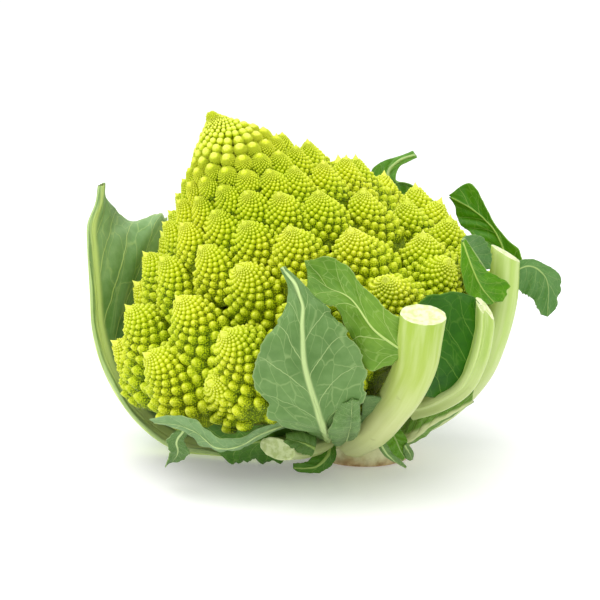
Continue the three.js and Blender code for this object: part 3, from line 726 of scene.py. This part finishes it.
# The left leaf is the largest. It lies out from the stalk, turns up beside the curd and curls
# behind it, its pale rib outermost, so that its face with raised veins is seen.
left_skin = leaf_skin("left_leaf_skin", ((92, 132, 66), (134, 166, 112)),
                      ((104, 142, 74), (136, 168, 108)), (206, 226, 140), veins=10, lean=0.2, width=1.6)
add_leaf(
    "left_blade", "left_leaf", left_skin,
    rib=[(-32, -5, 7), (-51, -6, 4), (-69, 0, 3), (-85, 4, 4), (-98, 6, 12), (-109, 6, 25), (-117, 6, 41),
         (-121, 7, 57), (-122, 8, 75), (-123, 10, 93), (-123, 12, 104), (-120, 17, 113), (-119, 20, 121)],
    left=[(-34, -14, 6), (-51, -14, 3), (-70, -8, 3), (-87, -2, 4), (-101, 0, 13), (-111, 0, 27),
          (-118, 1, 43), (-122, 2, 58), (-123, 3, 76), (-124, 5, 94), (-124, 9, 105), (-121, 14, 113),
          (-120, 18, 121)],
    right=[(-30, 10, 8), (-47, 14, 5), (-65, 34, 4), (-84, 52, 12), (-99, 64, 34), (-105, 67, 48),
           (-106, 67, 63), (-101, 65, 80), (-92, 62, 92), (-93, 58, 102), (-101, 52, 101), (-109, 45, 100),
           (-114, 34, 107), (-118, 24, 115), (-118, 22, 122)],
    grid=(120, 32), waves=(1.2, 0.5), teeth=(0.05, 22), ribs=(6.5, 3.4), veins=(10, 0.2), seed=7, back=1,
    arch=-0.05, dent=(1, 0.48, 0.05, 0.6))


# The leaf that lies curled at the front left shows its pale back, and its frayed margin hangs. A
# darker leaf lies under it, and only its edge shows.
front_left_skin = leaf_skin("front_left_skin", ((62, 104, 34), (96, 134, 62)),
                            ((88, 124, 66), (132, 164, 112)), PALE_VEIN, veins=8, lean=0.1)
add_leaf(
    "front_left_blade", "front_left_leaf", front_left_skin,
    rib=[(-30, -54, 31), (-45, -66, 29), (-56, -73, 25), (-64, -77, 26), (-71, -78, 32), (-79, -76, 35),
         (-90, -73, 35.5)],
    left=[(-30, -56, 34), (-45, -68, 32), (-56, -76, 28.5), (-65, -80, 31.5), (-72, -80, 37.5),
          (-80, -77, 39.5), (-92, -73, 36.8)],
    right=[(-30, -52, 29), (-46, -62, 26), (-53, -66, 22.6), (-61.4, -70, 22.3), (-71.6, -73, 26.3),
           (-76, -74, 30), (-86, -72, 34.5)],
    grid=(90, 20), waves=(1.2, 1.0), teeth=(0.06, 16), ribs=(0.5, 0.8), veins=(8, 0.1), seed=9, back=1)
add_leaf(
    "hanging_scrap", "front_left_leaf", bloom_skin,
    rib=[(-78, -71, 31), (-81, -68, 26), (-81, -62, 19), (-84, -56, 13)],
    left=[(-82, -72, 31), (-85, -69, 25), (-84, -64, 19), (-87, -58, 12)],
    right=[(-75, -70, 31), (-78, -67, 25), (-76, -62, 19), (-81, -56, 13)],
    grid=(30, 10), waves=(1.5, 1), teeth=(0.1, 5), ribs=(0.5, 0.5), veins=(4, 0.14), seed=10)
low_skin = leaf_skin("low_leaf_skin", ((50, 96, 12), (82, 128, 32)), ((66, 102, 36), (98, 132, 62)),
                     (140, 168, 84), veins=5, lean=0.15)
add_leaf(
    "dark_under_blade", "front_left_leaf", low_skin,
    rib=[(-22, -36, 22), (-44, -47, 20), (-66, -53, 18)],
    left=[(-20, -42, 39), (-44, -56, 38), (-76, -58, 35)],
    right=[(-25, -30, 12), (-44, -36, 7), (-60, -44, 9)],
    grid=(40, 12), waves=(1.2, 0.8), teeth=(0.08, 8), ribs=(0.8, 0.6), veins=(5, 0.14), seed=18, back=-1)


# Small leaves lie low round the stalk's foot: a curled green one in front, a cup at the right,
# and beyond it a wider one whose pale back is turned to the table.
add_leaf(
    "low_front_blade", "low_front_leaf", low_skin,
    rib=[(-16, -33, 15), (-17, -40, 11), (-22, -43, 7), (-32, -42, 6)],
    left=[(-13, -32, 16), (-14, -38, 8), (-20, -42, 4), (-30, -41, 4)],
    right=[(-19, -32, 16), (-21, -38, 13), (-26, -42, 9), (-32, -42, 8)],
    grid=(50, 14), waves=(0.6, 0.5), teeth=(0.08, 6), ribs=(0.7, 0.5), veins=(5, 0.14), seed=11, back=1)
add_leaf(
    "low_front_lobe", "low_front_leaf", low_skin,
    rib=[(-23, -56, 19), (-28, -60, 22.5), (-35, -62, 25)],
    left=[(-24, -57, 16), (-30, -62, 19), (-36, -63, 24)],
    right=[(-22, -54, 24), (-28, -58, 27), (-35, -61, 27)],
    grid=(36, 12), waves=(0.8, 0.5), teeth=(0.08, 5), ribs=(0.6, 0.5), veins=(4, 0.14), seed=16, back=-1,
    arch=0.12)
cup_skin = leaf_skin("cup_leaf_skin", ((64, 116, 14), (96, 146, 30)), ((86, 122, 58), (116, 150, 84)),
                     (146, 176, 100), veins=5)
add_leaf(
    "low_right_cup_blade", "low_right_cup_leaf", cup_skin,
    rib=[(9, -35, 23.2), (12.5, -38, 18), (14.5, -40, 13.5), (16.6, -40, 9.8)],
    left=[(6.3, -38, 23.4), (7.9, -42, 18.5), (11.2, -43.5, 12.8), (16, -42, 9.3)],
    right=[(14, -34, 22.6), (17.6, -35, 17.9), (17.8, -37, 13.6), (17.2, -39, 10)],
    grid=(60, 20), waves=(0.3, 0.5), teeth=(0.02, 4), ribs=(0.4, 0.3), veins=(5, 0.14), seed=13, back=-1,
    arch=0.1)
add_leaf(
    "low_right_cup_side", "low_right_cup_leaf", bloom_skin,
    rib=[(5.3, -40, 23.6), (5.6, -44, 19.4), (8, -45.5, 14.4), (12, -45, 10.4), (17.2, -42, 6.4)],
    left=[(4.4, -40, 23.6), (3.6, -43, 20), (5.4, -44.5, 15.6), (8.6, -44.5, 11.6), (13, -43.5, 9),
          (17.2, -41.5, 6)],
    right=[(6.3, -40, 23.6), (8, -43, 18.6), (11, -44, 13.2), (15.3, -43.5, 9.4), (17.4, -42, 6.8)],
    grid=(60, 12), waves=(0.2, 0.5), teeth=(0.02, 4), ribs=(0.4, 0.3), veins=(5, 0.14), seed=14, back=1,
    arch=0.1)
add_leaf(
    "low_right_cup_lobe", "low_right_cup_leaf", bloom_skin,
    rib=[(16.5, -38, 15), (18.5, -39, 12), (19.8, -39, 8.8)],
    left=[(15.9, -39, 11.5), (16.8, -40, 10), (19, -39.5, 8.5)],
    right=[(17.8, -37, 16), (20.7, -37.5, 11.5), (20.2, -38, 8.6)],
    grid=(36, 12), waves=(0.2, 0.5), teeth=(0.03, 4), ribs=(0.4, 0.3), veins=(4, 0.14), seed=19, back=1,
    arch=0.1)
right_low_skin = leaf_skin("right_low_skin", ((60, 104, 10), (94, 134, 34)),
                           ((70, 114, 20), (104, 144, 50)), (196, 206, 146), veins=6)
add_leaf(
    "right_low_blade", "right_low_leaf", right_low_skin,
    rib=[(15, -20, 11), (21, -26, 16), (28, -30, 23), (37, -34, 29), (46, -36, 35)],
    left=[(16, -20, 21), (22, -28, 28), (29, -34, 32), (37, -36, 34), (47, -37, 43)],
    right=[(14, -16, 8), (21, -20, 11), (30, -24, 19), (38, -30, 26), (47, -35, 34)],
    grid=(60, 20), waves=(0.8, 0.5), teeth=(0.06, 7), ribs=(2.6, 1.6), veins=(6, 0.14), seed=15, back=-1)


# The front leaf stem is the thickest: cut off square above, oval, firm and juicy, with fine ribs
# along it. A torn side blade and two small lobes are left of its leaf.
# The ridges round a stem and their height in millimetres, how narrow a groove is, where along the
# stem its rings begin to slide, and how much of the cut face's colour its edge takes
RIDGES, RIDGE_HEIGHT = (9, 13, 21), 0.7
GROOVE_POWER, CUT_FROM, CUT_EDGE = 9, 0.75, 0.35


def stem(line, wide, deep, facing, seed, cut=None, groove=0.0, columns=56, rows=50):
    """A stem round a smooth middle line: rings of an oval that tapers, and a cut face at each end.

    A ring's radius carries fine lengthwise ridges, and a groove sinks it towards its facing. Near
    the top the rings slide along the stem, until the last lies square to the way the cut faces."""
    random = np.random.default_rng(seed)
    along = np.linspace(0, 1, rows)
    middle = spline(line, along)
    ahead = unit(np.gradient(middle, axis=0))
    out = unit(np.array(facing, float) - (ahead @ np.array(facing, float))[:, None] * ahead)
    side = np.cross(ahead, out)
    turn = 2 * np.pi * np.arange(columns) / columns
    ripple = sum(np.sin(k * turn + random.uniform(0, 6)) / k for k in RIDGES)
    half_wide = (wide[0] + (wide[1] - wide[0]) * along)[:, None] / 2 + RIDGE_HEIGHT * ripple
    half_deep = (deep[0] + (deep[1] - deep[0]) * along)[:, None] / 2 + RIDGE_HEIGHT * ripple
    hollow = groove * np.maximum(0, np.sin(turn)) ** GROOVE_POWER
    reach = (half_wide * np.cos(turn))[..., None] * side[:, None]
    reach = MM * (reach + (half_deep * np.sin(turn) - hollow)[..., None] * out[:, None])
    if cut is not None:
        weight = np.clip((along - CUT_FROM) / (1 - CUT_FROM), 0, 1) ** 2
        slide = -(reach[-1] @ np.array(cut)) / (ahead[-1] @ np.array(cut))
        reach = reach + (weight[:, None] * slide)[..., None] * ahead[-1]
    # Rings turn over each cut edge, and then shrink to the middle of the cut face
    shares = np.array([0.985, 0.94, 0.8, 0.6, 0.35, 0.12])
    rise = np.array([0.2, 0.3, 0.15, -0.1, -0.3, -0.4]) * MM
    ends = []
    for row, sign in ((0, -1), (-1, 1)):
        face = middle[row] + shares[:, None, None] * reach[row] + (sign * rise)[:, None, None] * ahead[row]
        ends.append(face[::sign])
    rings = np.concatenate([ends[0], middle[:, None] + reach, ends[1]])
    vertices, triangles = closed_rings(rings)
    inner = len(shares)
    cut_face = np.concatenate([np.ones(inner), np.zeros(rows - 1), [CUT_EDGE], np.ones(inner)])
    lengths = np.concatenate([np.zeros(inner), along, np.ones(inner)])
    level = [np.append(np.repeat(values, columns), (1.0, 1.0)) for values in (cut_face, lengths)]
    spots = [np.append(np.tile(0.5 + 0.5 * wave(turn), len(rings)), (0.5, 0.5)) for wave in (np.sin, np.cos)]
    attributes = [("cut", level[0]), ("along", level[1])]
    return vertices, triangles[:, ::-1], attributes, np.stack(spots, -1)


def stem_skin(name, foot, middle, top, streaks=0.35, cut=((224, 230, 180), (196, 210, 136))):
    """Stem skin: pale streaks along it over a colour that changes from foot to top; a moist cut."""
    skin, start, place = new_material(name)
    spot = start.node("ShaderNodeUVMap", {"uv_map": "surface"})
    right, front, along = spot.part("X"), spot.part("Y"), start.attribute("along")
    streak = start.vector(right * 5, front * 5, along * 2.5).noise(1.0, 4).between(0.35, 0.7)
    fine = start.vector(right * 45, front * 45, along * 5).noise(1.0, 3)
    body = along.ramp((0.0, foot), (0.3, foot), (0.6, middle), (1.0, top))
    body = (streak * streaks + fine * (0.4 * streaks)).mix(body, (226, 234, 180))
    spots = place.noise(210, 4).between(0.66, 0.8)
    body = (spots * 0.25).mix(body, (120, 122, 60))
    pores = place.noise(420, 3).between(0.4, 0.65)
    cut_face = start.attribute("cut").between(0.3, 0.9)
    height = fine * 0.5 + streak * 0.3 + cut_face * pores * 0.8
    return finish_skin(skin, cut_face.mix(body, pores.mix(*cut)), height, 0.3, 0.0005, roughness=0.38)


juicy = stem_skin("front_stem_skin", (196, 204, 132), (162, 184, 66), (148, 178, 38), streaks=0.24)
add_part("front_stem", "front_petiole", stem(
    line=[(-6, -22, 12), (2, -46, 24), (9, -66, 39), (14, -82, 52), (18, -95, 67), (19, -102, 79),
          (20, -104, 88)],
    wide=(16, 18.5), deep=(13, 13), facing=(-0.2, -1, -0.3), cut=(0.03, -0.42, 0.9), seed=3), juicy)
bright_skin = leaf_skin("side_blade_skin", ((80, 122, 26), (118, 156, 52)),
                        ((92, 134, 36), (128, 166, 66)), (178, 202, 116), veins=4, lean=0.2)
add_leaf(
    "front_side_blade", "front_petiole", bright_skin,
    rib=[(13, -100, 72), (1, -101, 81), (-9, -95, 93), (-17, -91, 96), (-26, -85, 101)],
    left=[(14, -102, 84), (7, -101, 89), (-3, -96, 97), (-10, -90, 105), (-17, -87, 108), (-27, -83, 106)],
    right=[(8, -97, 66), (-2, -97, 65), (-10, -98, 80), (-15, -97, 90), (-21, -96, 91), (-26, -90, 96)],
    grid=(80, 28), waves=(1, 0.4), teeth=(0.05, 9), ribs=(0.3, 0.6), veins=(4, 0.2), seed=3, back=-1)
add_leaf(
    "front_foot_lobe", "front_petiole", bloom_skin,
    rib=[(-9, -46, 20), (-8, -84, 39), (-8, -98, 52)],
    left=[(-14, -44, 17), (-17, -84, 36), (-12, -96, 50)],
    right=[(-5, -44, 20), (-4, -82, 37), (-5, -97, 51)],
    grid=(50, 16), waves=(0.8, 0.5), teeth=(0.05, 9), ribs=(0.5, 0.5), veins=(4, 0.14), seed=4, back=-1,
    arch=0.14)
add_leaf(
    "front_stem_wing", "front_petiole", bloom_skin,
    rib=[(6, -78, 47), (2, -64, 36), (-2, -48, 25)],
    left=[(-3, -80, 48), (-3, -66, 38), (-4, -48, 25)],
    right=[(7, -77, 46), (4, -63, 36), (-1, -47, 24)],
    grid=(30, 10), waves=(0.3, 0.5), teeth=(0.02, 9), ribs=(0.5, 0.4), veins=(3, 0.14), seed=22, back=-1)


# The grooved leaf stem is slimmer, with a groove down its front, and keeps a broad dark blade on
# its left that cups the curd.
pale = stem_skin("right_stem_skin", (184, 200, 126), (168, 196, 90), (166, 196, 84), streaks=0.28)
add_part("grooved_stem", "grooved_petiole", stem(
    line=[(19, -28, 28), (31, -42, 36), (41, -52, 46), (46, -60, 60), (48, -64, 73), (48, -66, 82)],
    wide=(11, 8), deep=(9, 7.5), facing=(0.5, -1, 0), cut=(0.7, -0.4, 0.55), groove=3.2, columns=64,
    seed=6), pale)
dark_skin = leaf_skin("dark_blade_skin", ((30, 78, 4), (52, 104, 12)), ((40, 92, 8), (66, 114, 20)),
                      (110, 150, 60), veins=5, lean=0.2, shine=0.1)
add_leaf(
    "grooved_side_blade", "grooved_petiole", dark_skin,
    rib=[(31, -44, 38), (40, -54, 48), (44, -60, 60), (46, -64, 72), (46, -66, 84)],
    left=[(19, -61, 43), (18, -79, 59), (17, -89, 74), (19, -90, 89), (31, -81, 93), (43, -68, 88)],
    right=[(33, -43, 37), (42, -53, 47), (46, -60, 60), (47, -64, 72), (47, -65, 83)],
    grid=(70, 28), waves=(1, 0.4), teeth=(0.03, 9), ribs=(1.0, 0.8), veins=(5, 0.2), seed=17, back=1)


# The right leaf stem leans out to the right. One flap of its leaf is folded in over the curd, and
# another droops beyond the cut.
add_part("right_stem", "right_petiole", stem(
    line=[(19, -4, 15), (36, -8, 25), (50, -14, 42), (56, -18, 58), (60, -20, 76), (61, -20, 97)],
    wide=(18, 14), deep=(13, 12.5), facing=(0.8, -0.6, 0), cut=(0.5, -0.02, 0.85), seed=8), pale)
fresh_skin = leaf_skin("fresh_leaf_skin", ((66, 122, 4), (94, 146, 16)), ((88, 138, 26), (118, 160, 54)),
                       (160, 190, 88), veins=5, lean=0.15, shine=0.15)
dull_skin = leaf_skin("flap_back_skin", ((66, 112, 44), (92, 134, 70)), ((78, 118, 62), (104, 142, 84)),
                      (150, 178, 104), veins=5, lean=0.15)
add_leaf(
    "folded_flap_back", "right_petiole", dull_skin,
    rib=[(40.5, -44, 107.8), (45.8, -38, 100.2), (50.9, -34, 92.7)],
    left=[(39.6, -45, 107), (44.6, -40, 99), (50, -36, 91.8)],
    right=[(42, -42, 109), (48.7, -34, 107.1), (53.5, -30, 99.3), (53.5, -31, 92.3)],
    grid=(50, 16), waves=(0.6, 0.5), teeth=(0.03, 9), ribs=(0.7, 0.5), veins=(4, 0.14), seed=31, back=-1,
    arch=0.12)
add_leaf(
    "folded_flap", "right_petiole", fresh_skin,
    rib=[(40, -46, 106.7), (43.5, -48, 97.1), (48, -46, 87.4), (54.1, -40, 79.4)],
    left=[(39.3, -46, 106.8), (39.2, -51, 98), (41.2, -51, 87), (47, -48, 81), (53, -41, 78.6)],
    right=[(41.3, -45, 107.9), (46.8, -40.5, 98.8), (53.7, -37, 92), (61, -32, 85.5), (58.4, -36, 79)],
    grid=(60, 22), waves=(0.8, 0.4), teeth=(0.04, 9), ribs=(0.3, 0.5), veins=(5, 0.15), seed=19, back=-1,
    arch=0.1)
add_leaf(
    "drooping_flap", "right_petiole", dull_skin,
    rib=[(63, -18, 88), (73, -13, 90), (80, -12, 84), (81, -12, 67)],
    left=[(63, -18, 83), (68, -14, 79), (74, -12, 75), (78, -12, 68)],
    right=[(63, -17, 92), (74, -12, 93), (87, -8, 83), (85, -10, 70)],
    grid=(60, 20), waves=(1, 0.5), teeth=(0.07, 9), ribs=(0.25, 0.4), veins=(5, 0.15), seed=21, back=-1)


# Behind the curd stand three more leaves and one more cut stem: the right one folded over at its
# top, the middle one with a hooked tip, and the left one hidden from the front.
right_back_skin = leaf_skin("right_back_skin", ((58, 114, 2), (88, 144, 12)),
                            ((80, 130, 30), (112, 156, 60)), (156, 186, 90), veins=9, lean=0.08)
add_leaf(
    "right_back_blade", "right_back_leaf", right_back_skin,
    rib=[(24, 12, 20), (44, 20, 34), (60, 24, 58), (66, 20, 82), (62, 24, 97), (56, 30, 104),
         (49, 34, 109), (41, 36, 113)],
    left=[(24, 6, 22), (46, 10, 34), (60, 14, 56), (62, 16, 78), (58, 26, 91), (50, 34, 97), (45, 38, 102),
          (43, 38, 109), (40, 36, 113)],
    right=[(22, 18, 20), (40, 32, 34), (56, 36, 60), (72, 16, 76), (73, 12, 89), (66, 20, 96),
           (60, 26, 103), (56, 30, 111), (49, 34, 120), (40, 36, 114)],
    grid=(100, 18), waves=(1, 0.6), teeth=(0.05, 11), ribs=(0.7, 1.4), veins=(9, 0.08), seed=23, back=1)
back_skin = leaf_skin("back_leaf_skin", ((72, 128, 28), (104, 156, 58)), ((84, 128, 48), (116, 156, 82)),
                      PALE_VEIN, veins=9, lean=0.16)
add_leaf(
    "back_blade", "back_leaf", back_skin,
    rib=[(10, 26, 19), (22, 50, 28), (30, 72, 50), (31, 79, 78), (20, 76, 98), (16, 78, 109),
         (14, 79, 118), (17, 76, 123), (21, 73, 126), (26, 70, 128)],
    left=[(4, 26, 19), (8, 52, 28), (8, 78, 50), (8, 86, 80), (8, 82, 97), (5, 84, 108), (6, 84, 119),
          (12, 80, 124), (19, 75, 127), (25, 71, 130)],
    right=[(16, 23, 19), (34, 42, 28), (46, 58, 50), (46, 62, 80), (38, 62, 100), (33, 66, 107),
           (28, 68, 112), (22, 71, 115), (17, 74, 114), (17, 75, 118), (19, 74, 122), (22, 72, 124),
           (27, 69, 127)],
    grid=(100, 24), waves=(1, 0.6), teeth=(0.03, 9), ribs=(2.0, 2.4), veins=(9, 0.16), seed=25, back=1)
add_leaf(
    "back_left_blade", "back_left_leaf", back_skin,
    rib=[(-12, 24, 14), (-34, 48, 16), (-56, 70, 30), (-68, 84, 54), (-72, 86, 80), (-70, 80, 104)],
    left=[(-18, 20, 12), (-44, 38, 8), (-72, 58, 20), (-90, 72, 50), (-94, 74, 78), (-74, 78, 104)],
    right=[(-4, 26, 16), (-18, 56, 22), (-32, 80, 38), (-42, 92, 60), (-48, 94, 84), (-66, 82, 105)],
    grid=(90, 26), waves=(1.5, 0.8), teeth=(0.05, 12), ribs=(2.2, 2.8), veins=(9, 0.16), seed=27, back=1)
add_part("back_stem", "back_petiole", stem(
    line=[(0, 24, 18), (-4, 44, 24), (-8, 64, 36), (-10, 78, 54), (-10, 84, 74)],
    wide=(24, 18), deep=(13, 11), facing=(0, 1, 0), seed=12), pale)


# The stalk is the core of the head: pale cream, cut flat, browned and rough where the knife went
# through. A pale stub of a leaf that was cut away lies beside it.
# Radii and heights in millimetres, from the cut up to where the curd sits
STALK_OUTLINE = [
    (4, 0.2), (16, 0), (20.4, 0), (21.6, 0.5), (22, 1.6), (21.7, 3.2), (21.2, 6), (21, 10), (21.6, 15),
    (23.4, 20), (26.4, 25), (26.8, 26.6), (20, 28), (8, 28.4)]
STALK_COLUMNS, STALK_SEED, STALK_HEIGHT, UNEVEN = 96, 41, 27, 0.035


def stalk_surface(outline):
    """A turned shape from radii and heights in millimetres, a little uneven round about: its
    radius times 1 + the sum of a few sines."""
    random = np.random.default_rng(STALK_SEED)
    turn = 2 * np.pi * np.arange(STALK_COLUMNS) / STALK_COLUMNS
    uneven = sum(np.sin(k * turn + random.uniform(0, 6)) / k for k in (2, 3, 5, 9, 17)) * UNEVEN
    radius, height = np.array(outline, float).T
    level = (height / STALK_HEIGHT)[:, None]
    spread = radius[:, None] * (1 + uneven * (0.4 + 0.6 * level))
    rings = np.stack([spread * np.cos(turn), spread * np.sin(turn), height[:, None] + 0 * spread], -1) * MM
    raised = np.append(np.repeat(level[:, 0], STALK_COLUMNS), (0.0, 1.0))
    return *closed_rings(rings), [("raised", raised)], None


stalk_skin, start, place = new_material("stalk_skin")
patches = place.noise(95, 5, 0.6)
browned = (start.attribute("raised") + patches * 0.5).between(0.5, 0.24)
body = patches.between(0.35, 0.7).mix((212, 214, 156), (236, 234, 190))
worn = place.noise(330, 4).between(0.3, 0.7).mix((150, 118, 74), (196, 172, 124))
rough = place.noise(420, 5) * browned + patches * 0.5
finish_skin(stalk_skin, browned.mix(body, worn), rough, 0.6, 0.001, roughness=0.6)
add_part("stalk_core", "stalk", stalk_surface(STALK_OUTLINE), stalk_skin)
cut_base_skin = stem_skin("cut_base_skin", (150, 164, 96), (158, 172, 104), (150, 164, 98), streaks=0.3,
                          cut=((202, 214, 156), (174, 190, 120)))
add_part("cut_base_stem", "cut_leaf_base", stem(
    line=[(-16, -24, 14), (-24, -36, 15), (-32, -49, 17), (-38.5, -60, 20)],
    wide=(14, 17), deep=(8, 9), facing=(0, -0.3, 1), cut=(-0.4, -0.88, 0.25), rows=30, seed=14),
    cut_base_skin)


# The table is a broad white sheet, lit by one large soft light above and a bright room around. It
# glows a little, as a sheet that is lit from below does, so shadows on it stay pale.
HALF_TABLE = 4.0
corners = HALF_TABLE * np.array([[-1, -1, 0], [1, -1, 0], [1, 1, 0], [-1, 1, 0]])
floor = make_mesh("table", corners, np.array([[0, 1, 2, 3]]), smooth=False)
paper = bpy.data.materials.new("white_table")
paper.use_nodes = True
paper_shader = paper.node_tree.nodes["Principled BSDF"]
paper_shader.inputs["Base Color"].default_value = (0.84, 0.84, 0.84, 1)
paper_shader.inputs["Roughness"].default_value = 0.8
paper_shader.inputs["Emission Color"].default_value = (1, 1, 1, 1)
paper_shader.inputs["Emission Strength"].default_value = 0.2
floor.data.materials.append(paper)

room = bpy.data.worlds.new("room")
room.use_nodes = True
room.node_tree.nodes["Background"].inputs["Color"].default_value = (1, 1, 1, 1)
room.node_tree.nodes["Background"].inputs["Strength"].default_value = 1.0
bpy.context.scene.world = room

SOFTBOX_PLACE = np.array([-0.25, -0.35, 1.3])
SOFTBOX_AIM = np.array([0.0, 0.0, 0.05])

softbox = bpy.data.lights.new("softbox", "AREA")
softbox.size = 1.5
softbox.energy = 15
lamp = bpy.data.objects.new("softbox", softbox)
lamp.location = SOFTBOX_PLACE
towards = SOFTBOX_AIM - SOFTBOX_PLACE
tilt = math.atan2(math.hypot(towards[0], towards[1]), -towards[2])
lamp.rotation_euler = (tilt, 0, math.atan2(towards[1], towards[0]) - math.pi / 2)
bpy.context.scene.collection.objects.link(lamp)
bpy.context.scene.view_settings.view_transform = "Standard"
